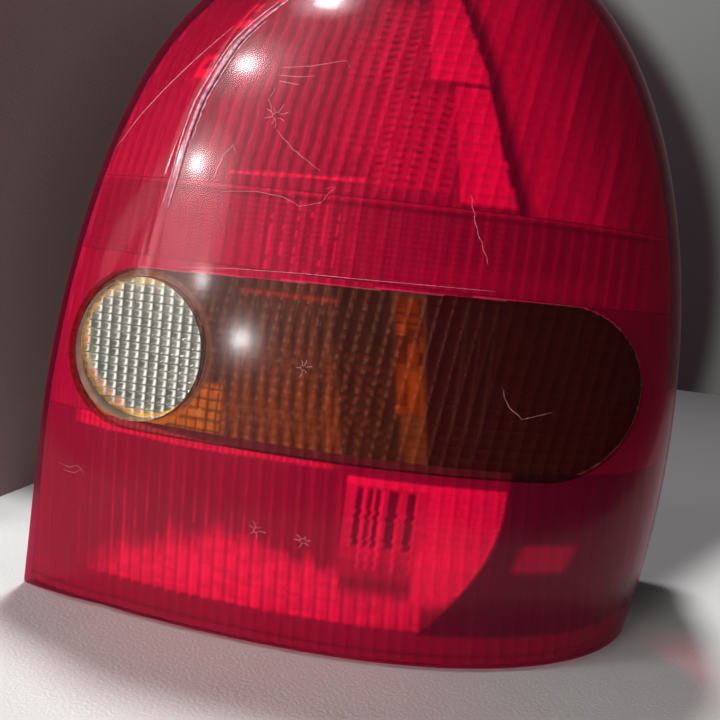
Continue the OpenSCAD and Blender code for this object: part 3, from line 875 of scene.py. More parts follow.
@dataclass
class OpticSheet:
    """A sheet of ribs and cells on the inside of the lens, laid out in the front view.

    Attributes:
        name: Name of the sheet.
        span: Lowest x, highest x, lowest z and highest z, in millimetres.
        step: Size of a mesh face across and up.
        depth: How far behind the face of the lens it lies.
        tone: Colour at each place.
        relief: Depth added at each place.
        inset: Least distance from the lens edge.
        violet: Share of the red that the sheet also shows in blue.
        edge: Distance from the outer face at the inner edge of the lens.
        thickness: Thickness of the sheet.
    """

    name: str
    span: tuple[float, float, float, float]
    step: tuple[float, float]
    depth: float
    tone: Tone
    relief: Tone
    inset: float = 2.9
    violet: float = 0.42
    edge: float = 1.1
    thickness: float = 0.4

    def build(self) -> bpy.types.Object:
        """Builds the sheet.

        Returns:
            A thin closed wall with its tone painted on.
        """
        x0, x1, z0, z1 = self.span
        cols, rows = round((x1 - x0) / self.step[0]), round((z1 - z0) / self.step[1])

        def place(u: Array, w: Array) -> Array:
            """Gives places on the sheet.

            Args:
                u: Share of the way across.
                w: Share of the way up.

            Returns:
                The places in millimetres.
            """
            z = z0 + (z1 - z0) * w
            m = FORM.measures(FORM.rise_to(FORM.drawn_out(z, self.depth)), self.depth)
            x = np.clip(x0 + (x1 - x0) * u, m["left"] + self.edge - self.depth, m["right"] - self.inset)
            return np.stack([x, FORM.front(x, z, self.depth) + self.relief(x, z), z], -1)

        obj = grid(self.name, cols, rows, place)
        paint_tone(obj, self.tone, self.violet)
        mod = obj.modifiers.new("wall", "SOLIDIFY")
        mod.thickness = self.thickness * MM
        mod.offset = 1.0
        activate(obj)
        bpy.ops.object.modifier_apply(modifier=mod.name)
        return obj


@dataclass(frozen=True)
class Places:
    """Places on a sheet, with the rib and the row that each lies in.

    Attributes:
        x: Places across.
        z: Heights.
        lean: Places across, measured from a line that leans as the ribs do.
        col: Number of the rib.
        row: Number of the row.
    """

    x: Array
    z: Array
    lean: Array
    col: Array
    row: Array


def plain(colour: Colour, x: Array) -> Array:
    """Returns one colour for every place."""
    return np.tile(np.array([colour]), (len(x), 1))


def mixed(base: Array, colour: Colour | Array, share: Array) -> Array:
    """Returns base with a share of a colour, or of a colour for each place, laid over it."""
    return base * (1 - share[:, None]) + np.asarray(colour) * share[:, None]


def flank_line(z: Array) -> Array:
    """Returns where the light line runs down the flank."""
    return -102.7 + 0.04 * (z - 119.6)


def bars(value: Array, pitch: float, width: float, blur: float = 0.4) -> Array:
    """Returns 1 on bars of a width at a pitch, and 0 between them."""
    place = (value / pitch) % 1.0 * pitch
    return soft_box(place, pitch / 2 - width / 2, pitch / 2 + width / 2, blur)


def rib_height(x: Array, pitch: float, height: float) -> Array:
    """Returns the round crest of vertical ribs."""
    return height * (1 - (2 * ((x / pitch) % 1.0) - 1) ** 2)


@dataclass(frozen=True)
class UpperOptics:
    """Ribs, cells and bright facets of the stop and tail chamber, with painted light and shade over them."""

    rib: float = 4.4
    row: float = 3.2

    def relief(self, x: Array, z: Array) -> Array:
        """Returns the depth of ribs and rows."""
        lean = x - 0.10 * (z - 150)
        return 0.4 + rib_height(lean, self.rib, 0.5) + rib_height(z, self.row, 0.15)

    def tone(self, x: Array, z: Array) -> Array:
        """Colours the sheet.

        Args:
            x: Places across.
            z: Heights.

        Returns:
            The linear colour at each place.
        """
        lean = x - 0.10 * (z - 150)
        p = Places(x, z, lean, np.floor(lean / self.rib), np.floor(z / self.row))
        crease = -67.9 + 0.15 * (z - 120) + 0.28 * np.maximum(z - 172, 0) + 0.25 * np.maximum(z - 190, 0)
        base = self.ribbed(p, crease)
        base = self.dashed(base, p)
        base = self.outer(self.bright(base, p), p)
        line = soft_box(z - 0.03 * x, 152.2, 153.2, 0.7) * soft_box(x, -46, 0, 3)
        base = mixed(base, (1.0, 0.25, 0.3), 0.9 * (line * (0.35 + 0.65 * bars(x, 2.9, 1.9, 0.7))))
        return self.flank(base, p, crease)

    @staticmethod
    def facet_edge(z: Array) -> Array:
        """Returns where the bright facets end towards the outer side."""
        return 46.0 - (z - 153) * 0.375 - 0.004 * np.maximum(z - 188, 0) ** 2

    @staticmethod
    def ragged(z: Array) -> Array:
        """Returns how far the outer edge of the facets strays."""
        return 1.8 * (hashed(np.floor(z / 2.6)) - 0.5)

    def ribbed(self, p: Places, crease: Array) -> Array:
        """Paints the ground and its ribs: painted highlights along the ribs as wavering beaded lines, with painted
        shade lines beside them.

        Args:
            p: The places.
            crease: Where the crease runs.

        Returns:
            The colour at each place.
        """
        base = plain((0.25, 0.04, 0.05), p.x) * (0.9 + 0.25 * hashed(p.col)[:, None])
        base = mixed(base, (0.44, 0.07, 0.11), 0.7 * ease((crease + 12 - p.x) / 24))
        waver = p.lean + 0.5 * np.sin(p.z * 0.33 + 2.0 * hashed(p.col))
        bead = 0.35 + 0.65 * hashed(p.col, np.floor((p.z + 3 * hashed(p.col)) / 4.6))
        base = mixed(base, (0.52, 0.08, 0.12), 0.6 * bead * bars(waver, self.rib, 0.9, 0.7))
        base = mixed(base, (0.16, 0.01, 0.02), 0.35 * bars(waver + 1.5, self.rib, 0.9, 0.8))
        return mixed(base, (0.42, 0.06, 0.08), 0.35 * bars(p.z, self.row, 0.8, 0.8) * soft_box(p.x, -12, 46, 6))

    @staticmethod
    def dashed(base: Array, p: Places) -> Array:
        """Paints the lighter fields as painted light, with their dark dashes.

        Args:
            base: The colour so far.
            p: The places.

        Returns:
            The colour at each place.
        """
        low_field = soft_box(p.x - 0.02 * (p.z - 165), 2, 27, 5) * soft_box(p.z, 151, 184, 4)
        high_field = soft_box(p.x + 0.1 * (p.z - 200), -4, 19, 6) * soft_box(p.z, 186, 212, 5)
        left_field = soft_box(p.x, -12, 8, 6) * soft_box(p.z, 160, 202, 8)
        share = np.clip(low_field + high_field + 0.5 * left_field, 0, 1)
        base = mixed(base, (0.62, 0.07, 0.09), 0.85 * share)
        across = bars(p.lean + 0.4 * hashed(p.row), 5.4, 3.4, 1.4)
        up = bars(p.z + 0.3 * np.sin(p.lean), 2.5, 1.0, 0.9)
        return mixed(base, (0.05, 0.0, 0.01), 0.9 * (across * up * (0.45 + 0.55 * hashed(p.col, p.row))) * share)

    def bright(self, base: Array, p: Places) -> Array:
        """Paints the two bright facets, painted reflections of the light in the chamber, with their ragged outer edges.

        Args:
            base: The colour so far.
            p: The places.

        Returns:
            The colour at each place.
        """
        right = self.facet_edge(p.z) + 0.6 * self.ragged(p.z)
        low_left, high_left = 30.0 - (p.z - 150.5) * 0.2, 15.0 - (p.z - 186) * 0.15
        low = soft_box(p.x, low_left, right, 0.9) * soft_box(p.z, 149.0, 186.2, 0.8)
        high = soft_box(p.x, high_left, right, 0.9) * soft_box(p.z, 187.6, 218, 0.8)
        lines = 1 - 0.2 * bars(p.z, self.row, 0.6, 0.8) * (0.5 + 0.5 * hashed(p.col, p.row))
        shine = 0.9 + 0.1 * hashed(p.col, np.floor(p.z / 9))
        share = np.clip(low + high, 0, 1)
        base = mixed(base, np.stack([1.0 * lines * shine, 0.10 * lines, 0.12 * lines], -1), share)
        half = soft_box(p.x, low_left, low_left + 5, 1) * soft_box(p.z, 150, 186, 2)
        return mixed(base, (0.62, 0.05, 0.08), 0.45 * half * share)

    def outer(self, base: Array, p: Places) -> Array:
        """Paints the empty outer end, and the dark gap between it and the facets.

        Args:
            base: The colour so far.
            p: The places.

        Returns:
            The colour at each place.
        """
        edge = self.facet_edge(p.z)
        side = ease((p.x - edge - 0.6 * self.ragged(p.z)) / 0.8) * (1 - ease((p.x - edge - 2) / 6))
        streak = 0.5 + 0.5 * np.sin(p.lean * 0.9 + 2.2 * np.sin(p.z * 0.07))
        fade = 1.2 - 0.65 * ease((p.x - edge - 14) / 26)
        ruby = np.stack([(0.50 + 0.34 * streak * hashed(p.col)) * fade, 0.05 * fade, 0.10 * fade], -1)
        base = mixed(base, ruby, ease((p.x - edge - 2.5) / 2))
        return mixed(base, (0.06, 0.0, 0.015), 0.85 * side * (p.z < 222))

    @staticmethod
    def flank(base: Array, p: Places, crease: Array) -> Array:
        """Paints glints on facets in the flank, as painted highlights, and the dark line down it.

        Args:
            base: The colour so far.
            p: The places.
            crease: Where the crease runs.

        Returns:
            The colour at each place.
        """
        line_x = flank_line(p.z) + 0.8 * np.maximum(p.z - 146, 0)
        lit = hashed(np.floor((p.x - 0.6 * p.z) / 3.4), np.floor(p.z / 3.1)) > 0.6
        facet = lit * soft_box(p.x, crease - 13, crease - 1.5, 1.5)
        facet = facet * np.clip(soft_box(p.z, 182, 191, 2) + soft_box(p.z, 199, 214, 3), 0, 1)
        base = mixed(base, (1.0, 0.3, 0.4), 0.8 * facet)
        base = mixed(base, (0.20, 0.02, 0.04), 0.5 * soft_box(p.x, line_x - 2.4, line_x - 1.1, 0.8))
        return mixed(base, (0.24, 0.03, 0.05), 0.5 * ease((line_x - 2 - p.x) / 5))


@dataclass(frozen=True)
class BandOptics:
    """Fine squares and ribs of the reflex band."""

    rib: float = 4.4
    square: float = 1.9

    def relief(self, x: Array, z: Array) -> Array:
        """Returns the depth of ribs and squares."""
        return 0.4 + rib_height(x, self.rib, 0.3) + rib_height(z, self.square, 0.1)

    def tone(self, x: Array, z: Array) -> Array:
        """Colours the sheet.

        Args:
            x: Places across.
            z: Heights.

        Returns:
            The linear colour at each place.
        """
        col = np.floor(x / self.rib)
        base = plain((0.25, 0.035, 0.055), x) * (0.88 + 0.2 * hashed(col)[:, None])
        squares = bars(x, self.square, 0.9, 0.6) * bars(z, self.square, 0.9, 0.6)
        base = mixed(base, (0.58, 0.10, 0.14), 0.42 * squares * soft_box(x, -96, 48, 10))
        # painted glow at the inner end of the band
        glow = soft_box(x, -96, -20, 40) * soft_box(z, 118, 131, 8)
        base = mixed(base, (0.34, 0.05, 0.07), 0.5 * glow)
        # ribs at the outer end as painted shade and highlight lines, and the low painted glow under them
        right = soft_box(x, 26, 91, 14)
        base = mixed(base, (0.16, 0.02, 0.03), 0.65 * right * bars(x, self.rib, 2.2, 0.8))
        base = mixed(base, (0.50, 0.10, 0.15), 0.5 * right * bars(x + self.rib / 2, self.rib, 0.6, 0.5))
        low = soft_box(z, 121.5, 129, 6) * soft_box(x, 18, 80, 14)
        base = mixed(base, (0.45, 0.05, 0.07), 0.35 * low)
        # light dots as painted glints, the darker flank, and the step up to the stop chamber as a painted shade line
        # with a painted highlight line above it
        dots = bars(x, self.rib, 0.9, 0.5) * (hashed(col, np.floor(z / 1.7)) > 0.55) * soft_box(x, -32, -3, 4)
        base = mixed(base, (1.0, 0.45, 0.6), 0.5 * dots)
        base = mixed(base, (0.24, 0.035, 0.06), 0.7 * ease((-64 - x) / 14) * (x > flank_line(z) + 1))
        step = soft_box(z, 144.0, 145.6, 0.5)
        base = mixed(base, (0.12, 0.0, 0.01), 0.8 * step * soft_box(x, -70, 92, 6))
        return mixed(base, (0.62, 0.12, 0.12), 0.5 * soft_box(z, 146.2, 147.0, 0.5))


@dataclass(frozen=True)
class LowerOptics:
    """Ribs, the low glow and the right-hand window of the fog chamber."""

    rib: float = 4.4
    dark_bars: Path = ((10.8, 12.6), (14.4, 15.6), (16.8, 18.4), (20.8, 23.8), (26.8, 29.0))

    def relief(self, x: Array, z: Array) -> Array:
        """Returns the depth of the ribs."""
        return 0.4 + rib_height(x + 0.05 * z, self.rib, 0.5)

    def tone(self, x: Array, z: Array) -> Array:
        """Colours the sheet.

        Args:
            x: Places across.
            z: Heights.

        Returns:
            The linear colour at each place.
        """
        lean = x + 0.05 * (z - 30)
        p = Places(x, z, lean, np.floor(lean / self.rib), np.floor(z / 1.6))
        edge = 56.5 - 0.0115 * np.maximum(55 - z, 0) ** 2
        base = self.window(self.glowing(p), p, edge)
        base = self.barred(base, p, edge)
        # row of lozenges under the smoked window
        mid = 61.6 + 0.0009 * np.maximum(-x - 20, 0) ** 1.9
        half = 0.9 + 0.030 * np.maximum(-x - 25, 0)
        strip = soft_box(z, mid - half, mid + half, 0.5) * soft_box(x, -90, 2, 6)
        lozenge = (0.35 + 0.65 * bars(lean, 2.2, 1.3, 0.6)) * (1 - 0.35 * soft_box(z, mid - 0.4, mid + 0.1, 0.3))
        base = mixed(base, (0.80, 0.14, 0.18), 0.9 * strip * lozenge)
        # empty outer end with one lit patch low down, and the skirt
        base = mixed(base, (0.022, 0.003, 0.005), 0.94 * ease((x - edge - 0.5) / 1.0))
        patch = soft_box(x - 0.3 * (z - 38), 63, 80, 4) * soft_box(z, 33, 42, 3)
        base = mixed(base, (0.46, 0.02, 0.12), 0.75 * patch)
        base = mixed(base, (0.20, 0.03, 0.055), ease((11.0 - z) / 1.5))
        return mixed(base, (0.06, 0.01, 0.02), 0.7 * soft_box(z, 3.0, 4.2, 0.8))

    def glowing(self, p: Places) -> Array:
        """Paints the ground with its ribs as painted light and shade lines, and the low painted glow: its top is soft
        at the left and sharp at the right.

        Args:
            p: The places.

        Returns:
            The colour at each place.
        """
        x, z = p.x, p.z
        base = mixed(plain((0.21, 0.03, 0.045), x), (0.17, 0.03, 0.04), 0.8 * ease((-45 - x) / 35))
        base = base * (0.85 + 0.25 * hashed(p.col)[:, None])
        ribs = soft_box(x, -86, 8, 8)
        line = bars(p.lean, self.rib, 0.8, 0.6)
        base = mixed(base, (0.36, 0.06, 0.08), ribs * line * (0.05 + 0.45 * hashed(p.col, np.floor(z / 11))))
        base = mixed(base, (0.12, 0.01, 0.02), 0.3 * ribs * bars(p.lean + 1.4, self.rib, 1.1, 0.8))
        slope = np.where(x < -34, 0.40 * (-34 - x), 0.16 * (x + 34))
        top = 34.8 - slope + 4.0 * (hashed(p.col) - 0.5) * soft_box(x, -90, 4, 8)
        top = np.where(x > 8, 22.0, top)
        blur = 6.0 + 8 * ease((-x - 10) / 50)
        glow = ease((top - z) / blur + 0.5) * ease((x + 88) / 22) * ease((35.8 - x) / 1.2) * ease((z - 10.8) / 1.2)
        ridge = 1 - 0.42 * bars(p.lean + 1.4, self.rib, 1.3, 0.9)
        bead = 1 - 0.16 * (hashed(p.col, p.row) > 0.6)
        hot = np.stack([0.74 * ridge * bead, 0.09 * ridge * bead, 0.12 * ridge * bead], -1)
        high = 0.5 * ease((56 - z) / 24) * ribs * soft_box(x, -76, -12, 16) * (hashed(p.col, np.floor(z / 6)) > 0.35)
        return mixed(base, hot, np.clip(glow + high * line, 0, 1))

    @staticmethod
    def window(base: Array, p: Places, edge: Array) -> Array:
        """Paints the ground and the fine grid of the right-hand window, bright with painted light, and a painted
        highlight low on its outer side.

        Args:
            base: The colour so far.
            p: The places.
            edge: The outer edge of the window.

        Returns:
            The colour at each place.
        """
        x, z = p.x, p.z
        inside = soft_box(x, 7.0, edge, 0.8) * soft_box(z, 15, 60.0, 0.8)
        inner = np.stack([0.52 + 0.1 * hashed(p.col, p.row), 0.06 + 0 * x, 0.07 + 0 * x], -1)
        base = np.where((inside * (z > 33))[:, None] > 0.5, inner, base)
        base = mixed(base, (0.40, 0.03, 0.05), 0.7 * soft_box(x, 7, 33, 2) * soft_box(z, 27, 37, 3))
        meshed = soft_box(x, 33, edge, 1.0) * soft_box(z, 36, 59.5, 1.5)
        nodes = bars(x, 2.2, 1.3, 0.5) * bars(z, 2.4, 1.5, 0.6)
        base = mixed(base, (0.90, 0.10, 0.13), 0.95 * meshed)
        base = mixed(base, (0.60, 0.03, 0.06), 0.4 * meshed * (1 - nodes))
        # painted highlight low on the window's outer side
        base = mixed(base, (0.98, 0.10, 0.12), 0.8 * soft_box(x, 31, edge, 3) * soft_box(z, 20, 38, 7))
        return mixed(base, (0.9, 0.10, 0.12), 0.75 * soft_box(x, 7, 57, 0.8) * soft_box(z, 57.3, 59.8, 0.8))

    def barred(self, base: Array, p: Places, edge: Array) -> Array:
        """Paints the dark bars in the window, each with a painted highlight on its edge, and the window's rim as a
        painted highlight.

        Args:
            base: The colour so far.
            p: The places.
            edge: The outer edge of the window.

        Returns:
            The colour at each place.
        """
        z = p.z
        wavy = p.x + 0.6 * np.sin(z * 1.9) * (hashed(np.floor(z / 1.3)) - 0.3)
        for left, right in self.dark_bars:
            bar = soft_box(wavy, left, right, 0.6) * soft_box(z, 37.5, 56.5, 1.5)
            base = mixed(base, (0.03, 0.0, 0.01), 0.88 * bar)
            shine = 0.6 * soft_box(wavy, right + 0.2, right + 1.2, 0.4) * soft_box(z, 30, 56.5, 2)
            base = mixed(base, (0.98, 0.12, 0.14), shine)
        rim = soft_box(p.x, edge - 1.0, edge + 0.2, 0.4) * soft_box(z, 24, 58, 1)
        return mixed(base, (1.0, 0.3, 0.3), 0.8 * (rim * (0.3 + 0.7 * bars(z, 2.0, 1.2, 0.4))))


@dataclass(frozen=True)
class SideOptics:
    """Plain ribs of the red moulding at the two ends of the window, with painted highlight lines along them."""

    rib: float = 4.4

    def relief(self, x: Array, z: Array) -> Array:
        """Returns the depth of the ribs."""
        return 0.4 + rib_height(x + 0.05 * z, self.rib, 0.3)

    def tone(self, x: Array, z: Array) -> Array:
        """Colours the sheet.

        Args:
            x: Places across.
            z: Heights.

        Returns:
            The linear colour at each place.
        """
        turned = x + 0.05 * z
        base = plain((0.30, 0.04, 0.065), x) * (0.85 + 0.25 * hashed(np.floor(turned / 2.2))[:, None])
        # lighter lines along the ribs are painted highlights
        base = mixed(base, (0.46, 0.07, 0.10), 0.5 * bars(turned, 2.2, 0.7, 0.6))
        base = mixed(base, (0.17, 0.02, 0.04), 0.7 * ease((-100 - x) / 4))
        return mixed(base, (0.15, 0.012, 0.035), ease((x - 20) / 30))


@dataclass(frozen=True)
class AmberOptics:
    """Cells and ribs of the amber inner lens behind the smoked window."""

    rib: float = 4.4
    row: float = 3.3

    def relief(self, x: Array, z: Array) -> Array:
        """Returns the depth of ribs and rows."""
        return rib_height(x + 0.12 * (96 - z), self.rib, 0.6) + rib_height(z, self.row, 0.25)

    def tone(self, x: Array, z: Array) -> Array:
        """Colours the sheet.

        Args:
            x: Places across.
            z: Heights.

        Returns:
            The linear colour at each place.
        """
        lean = x + 0.12 * (z - 96)
        p = Places(x, z, lean, np.floor(lean / self.rib), np.floor(z / self.row))
        left = 20.0 - 0.135 * (z - 77)
        base = self.lit_column(self.ribbed(p), p, left)
        base = self.celled(base, p)
        # reddish line under the window's top, and the unlit outer end
        line = 0.8 * soft_box(z, 113.2, 114.4, 0.6) * soft_box(x, -36, -4, 4) * (0.4 + 0.6 * bars(x, 3.1, 1.8, 0.8))
        base = mixed(base, (0.80, 0.10, 0.06), line)
        base = mixed(base, (0.055, 0.008, 0.014), 0.96 * ease((x - left - 8.8) / 1.5))
        faint = soft_box(x, 34, 48, 3) * bars(x, 4.4, 0.9, 0.8) * soft_box(z, 76, 116, 8)
        return mixed(base, (0.12, 0.09, 0.08), 0.5 * faint)

    def ribbed(self, p: Places) -> Array:
        """Paints the brown ground with its ribs as painted shade and highlight lines, and the darker run before the lit
        column.

        Args:
            p: The places.

        Returns:
            The colour at each place.
        """
        x, z = p.x, p.z
        low = ease((112 - z) / 42)
        base = np.stack([0.20 + 0.13 * low, 0.14 + 0.015 * low, 0.10 - 0.05 * low], -1)
        base = base * (0.75 + 0.5 * hashed(p.col)[:, None]) * (0.9 + 0.2 * hashed(p.col, p.row)[:, None])
        ribs = soft_box(x, -46, 2, 5)
        base = mixed(base, (0.06, 0.03, 0.02), 0.6 * ribs * bars(p.lean, self.rib, 1.5, 0.9))
        base = mixed(base, (0.62, 0.26, 0.08), 0.4 * ribs * low * bars(p.lean + 2.0, self.rib, 1.0, 0.8))
        base = mixed(base, (0.05, 0.02, 0.01), 0.3 * bars(z, self.row, 0.8, 0.7) * soft_box(z, 60, 104, 8))
        base = mixed(base, (0.10, 0.10, 0.11), 0.5 * soft_box(x, -46, -34, 3) * soft_box(z, 80, 121, 6))
        base = mixed(base, (0.055, 0.028, 0.016), 0.85 * soft_box(x + 0.2 * (z - 96), -1.5, 17.5, 2.5))
        beads = bars(p.lean, 3.6, 1.4, 0.6) * bars(z, self.row, 1.6, 0.7) * soft_box(x, 0, 17, 3)
        return mixed(base, (0.30, 0.10, 0.03), 0.6 * (beads * soft_box(z, 70, 100, 8)))

    @staticmethod
    def lit_column(base: Array, p: Places, left: Array) -> Array:
        """Paints the column that catches the light, in patches, with three dark lines over its top.

        Args:
            base: The colour so far.
            p: The places.
            left: Left edge of the column.

        Returns:
            The colour at each place.
        """
        x, z = p.x, p.z
        column = soft_box(x, left, left + 8.6, 0.6) * soft_box(z, 81, 117.5, 1.0)
        strip = np.floor((x - left) / 3.6)
        patch = hashed(strip, np.floor((z + 2.1 * hashed(strip)) / 4.4))
        lit = np.stack([0.16 + 0.5 * patch ** 1.5, 0.05 + 0.2 * patch ** 2, 0.02 + 0 * x], -1)
        base = mixed(base, lit * (0.75 + 0.25 * bars(x - left, 3.5, 2.2, 0.9))[:, None], column)
        for height, thick in ((112.6, 1.0), (109.6, 0.8), (106.9, 0.5)):
            line = soft_box(z, height - thick / 2, height + thick / 2, 0.4)
            base = mixed(base, (0.16, 0.04, 0.01), 0.85 * column * line)
        return base

    @staticmethod
    def celled(base: Array, p: Places) -> Array:
        """Paints the square amber cells beside the round lens, with a painted glint on one cell, and the ring around
        it.

        Args:
            base: The colour so far.
            p: The places.

        Returns:
            The colour at each place.
        """
        x, z = p.x, p.z
        cell_x, cell_z = bars(x + 0.1, 3.5, 2.7, 0.5), bars(z, 3.5, 2.7, 0.5)
        cells = soft_box(x, -75, -37.5, 1.0) * soft_box(z, 58, 82, 2.5)
        glint = hashed(np.floor(x / 3.5), np.floor(z / 3.5))
        amber = np.stack([0.74 + 0.26 * glint, 0.50 + 0.0 * x, 0.06 + 0 * x], -1)
        base = mixed(base, amber * (0.25 + 0.75 * cell_x * cell_z)[:, None], cells)
        # a painted glint on one cell
        base = mixed(base, (1.0, 0.85, 0.2), soft_box(x, -46.6, -44.0, 0.8) * soft_box(z, 70.8, 73.2, 0.8))
        dx, dz = x - REVERSING_ROUND.x, z - REVERSING_ROUND.z
        ring = np.hypot(dx, dz)
        around = ease((-dx - dz) / 20 + 0.4)
        base = mixed(base, (0.50, 0.46, 0.38), 0.7 * soft_box(ring, 24, 26.2, 0.6) * (1 - around))
        return mixed(base, (0.95, 0.55, 0.08), soft_box(ring, 24, 26.6, 0.6) * around)


@dataclass(frozen=True)
class PrismOptics:
    """Square prisms on the back of the round reversing lens."""

    x: float = REVERSING_ROUND.x
    z: float = REVERSING_ROUND.z
    radius: float = REVERSING_ROUND.radius
    cols: int = 13
    rows: int = 17
    height: float = 1.4
    back: float = -18.2

    def cell(self, x: Array, z: Array) -> tuple[Array, Array, Array, Array]:
        """Finds the cell of each place.

        Args:
            x: Places across.
            z: Heights.

        Returns:
            The cell's number across and up, and the share of the way across and up it.
        """
        w, h = 2 * self.radius / self.cols, 2 * self.radius / self.rows
        a, b = (x - self.x + self.radius) / w, (z - self.z + self.radius) / h
        return np.floor(a), np.floor(b), a % 1.0, b % 1.0

    def tip(self, x: Array, z: Array) -> Array:
        """Returns the depth of the prisms."""
        _, _, a, b = self.cell(x, z)
        return self.back + self.height * (1 - np.maximum(np.abs(2 * a - 1), np.abs(2 * b - 1)))

    def tone(self, x: Array, z: Array) -> Array:
        """Colours the sheet.

        Args:
            x: Places across.
            z: Heights.

        Returns:
            The linear colour at each place.
        """
        i, j, a, b = self.cell(x, z)
        lift = ((z - self.z) + 0.8 * (x - self.x)) / self.radius
        level = 0.13 + 0.12 * hashed(i, j) + 0.06 * lift
        base = np.stack([level * 1.0, level * 0.97, level * 0.86], -1)
        # painted highlight stroke and hook on each prism, and painted shade along its lower and left edges
        stroke = soft_box(a, 0.52, 0.86, 0.12) * soft_box(b, 0.12, 0.94, 0.12)
        base = mixed(base, (1.0, 0.97, 0.92), (0.8 + 0.2 * hashed(j, i)) * stroke)
        hook = soft_box(a, 0.25, 0.7, 0.12) * soft_box(b, 0.70, 0.94, 0.12)
        base = mixed(base, (0.60, 0.61, 0.55), 0.6 * hook)
        base = mixed(base, (0.05, 0.055, 0.045), 0.75 * soft_box(b, -0.1, 0.12, 0.08))
        base = mixed(base, (0.06, 0.065, 0.055), 0.6 * soft_box(a, -0.1, 0.12, 0.1))
        # warm fringe towards the lens's rim
        ring = np.hypot(x - self.x, z - self.z)
        toward = np.clip((-(x - self.x) - 0.7 * (z - self.z)) / self.radius, 0, 1)
        top = np.clip(((z - self.z) - 0.4 * (x - self.x)) / self.radius, 0, 1)
        fringe = ease((ring - 18.5) / 4) * (hashed(j, i) > 0.35)
        base = mixed(base, (0.95, 0.72, 0.42), 0.55 * fringe * np.maximum(toward, 0.8 * top))
        base = mixed(base, (0.85, 0.12, 0.08), 0.5 * fringe * toward * (hashed(i, j) > 0.6))
        rim = 0.35 + 0.65 * np.maximum(ease(toward + 0.3), ease(((x - self.x) - (z - self.z)) / self.radius - 0.2))
        return mixed(base, (0.90, 0.48, 0.08), rim * soft_box(ring, 22.6, 24.8, 0.5))


# --------------------------------------------------------------------------- mouldings of the lens
@dataclass
class Lens:
    """The three shots of the lens moulding, with the prisms of the round one.

    Attributes:
        cols: Faces across.
        rows: Faces up.
        inner: How far behind the face the inner face lies, in millimetres.
        disc_radius: Radius of the round lens.
        prism_cuts: Faces across and up each prism.
        wall_angle: Edges of the walls sharper than this stay sharp, in degrees.
        prism_angle: The same for the prisms.
        made: The mouldings that were made, by name.
    """

    cols: int = 190
    rows: int = 150
    inner: float = FORM.wall
    disc_radius: float = 23.9
    prism_cuts: tuple[int, int] = (8, 6)
    wall_angle: float = 24.0
    prism_angle: float = 20.0
    made: dict[str, bpy.types.Object] = field(default_factory=dict)

    def shell(self) -> bpy.types.Object:
        """Builds the whole lens.

        Returns:
            One closed wall, with a slot for its face and one for its back.
        """
        outer = grid("lens_outer", self.cols, self.rows, lambda u, w: FORM.wrapped(u, w, 0.0))
        inner = grid("lens_inner", self.cols, self.rows, lambda u, w: FORM.wrapped(u, w, self.inner))
        for obj, part in ((outer, "face"), (inner, "back")):
            obj.data.materials.append(bpy.data.materials.new(f"moulding_{part}"))
        wall = join(outer, inner)
        close_between(wall)
        return wall

    def build(self) -> None:
        """Builds the red, smoked and clear mouldings."""
        whole = self.shell()
        window = twin(whole, "smoked_window_smooth")
        cut(whole, outline_prism(Lit.WINDOW), "DIFFERENCE")
        cut(window, outline_prism(Lit.WINDOW), "INTERSECT")
        cut(window, outline_prism(Lit.REVERSING), "DIFFERENCE")
        whole.name = whole.data.name = "red_lens_smooth"
        for obj in (whole, window):
            smooth(obj, self.wall_angle)
        self.made = {"red": whole, "window": window, "round": self.round_lens()}

    def round_lens(self) -> bpy.types.Object:
        """Builds the round reversing lens with prisms on its back.

        Returns:
            The lens, with its tone painted on.
        """
        prisms = PrismOptics()
        w, h = 2 * prisms.radius / prisms.cols, 2 * prisms.radius / prisms.rows
        x0, x1 = prisms.x - prisms.radius - w, prisms.x + prisms.radius + w
        z0, z1 = prisms.z - prisms.radius - h, prisms.z + prisms.radius + h
        cols, rows = (prisms.cols + 2) * self.prism_cuts[0], (prisms.rows + 2) * self.prism_cuts[1]

        def side(name: str, depth: Tone) -> bpy.types.Object:
            """Makes one side of the disc, painted and with a slot of its own.

            Args:
                name: Name of the side.
                depth: Depth at each place of the front view.

            Returns:
                The side as an open sheet.
            """
            def place(u: Array, v: Array) -> Array:
                """Returns places on the side for shares across and up it."""
                x, z = x0 + (x1 - x0) * u, z0 + (z1 - z0) * v
                return np.stack([x, depth(x, z), z], -1)

            sheet = grid(name, cols, rows, place)
            paint_tone(sheet, prisms.tone)
            sheet.data.materials.append(bpy.data.materials.new(f"{name}_slot"))
            return sheet

        disc = join(side("reversing_face", FORM.front), side("reversing_prisms", prisms.tip))
        close_between(disc)
        cut(disc, outline_prism(Lit.REVERSING, self.disc_radius), "INTERSECT")
        disc.name = disc.data.name = "reversing_lens_smooth"
        smooth(disc, self.prism_angle)
        return disc


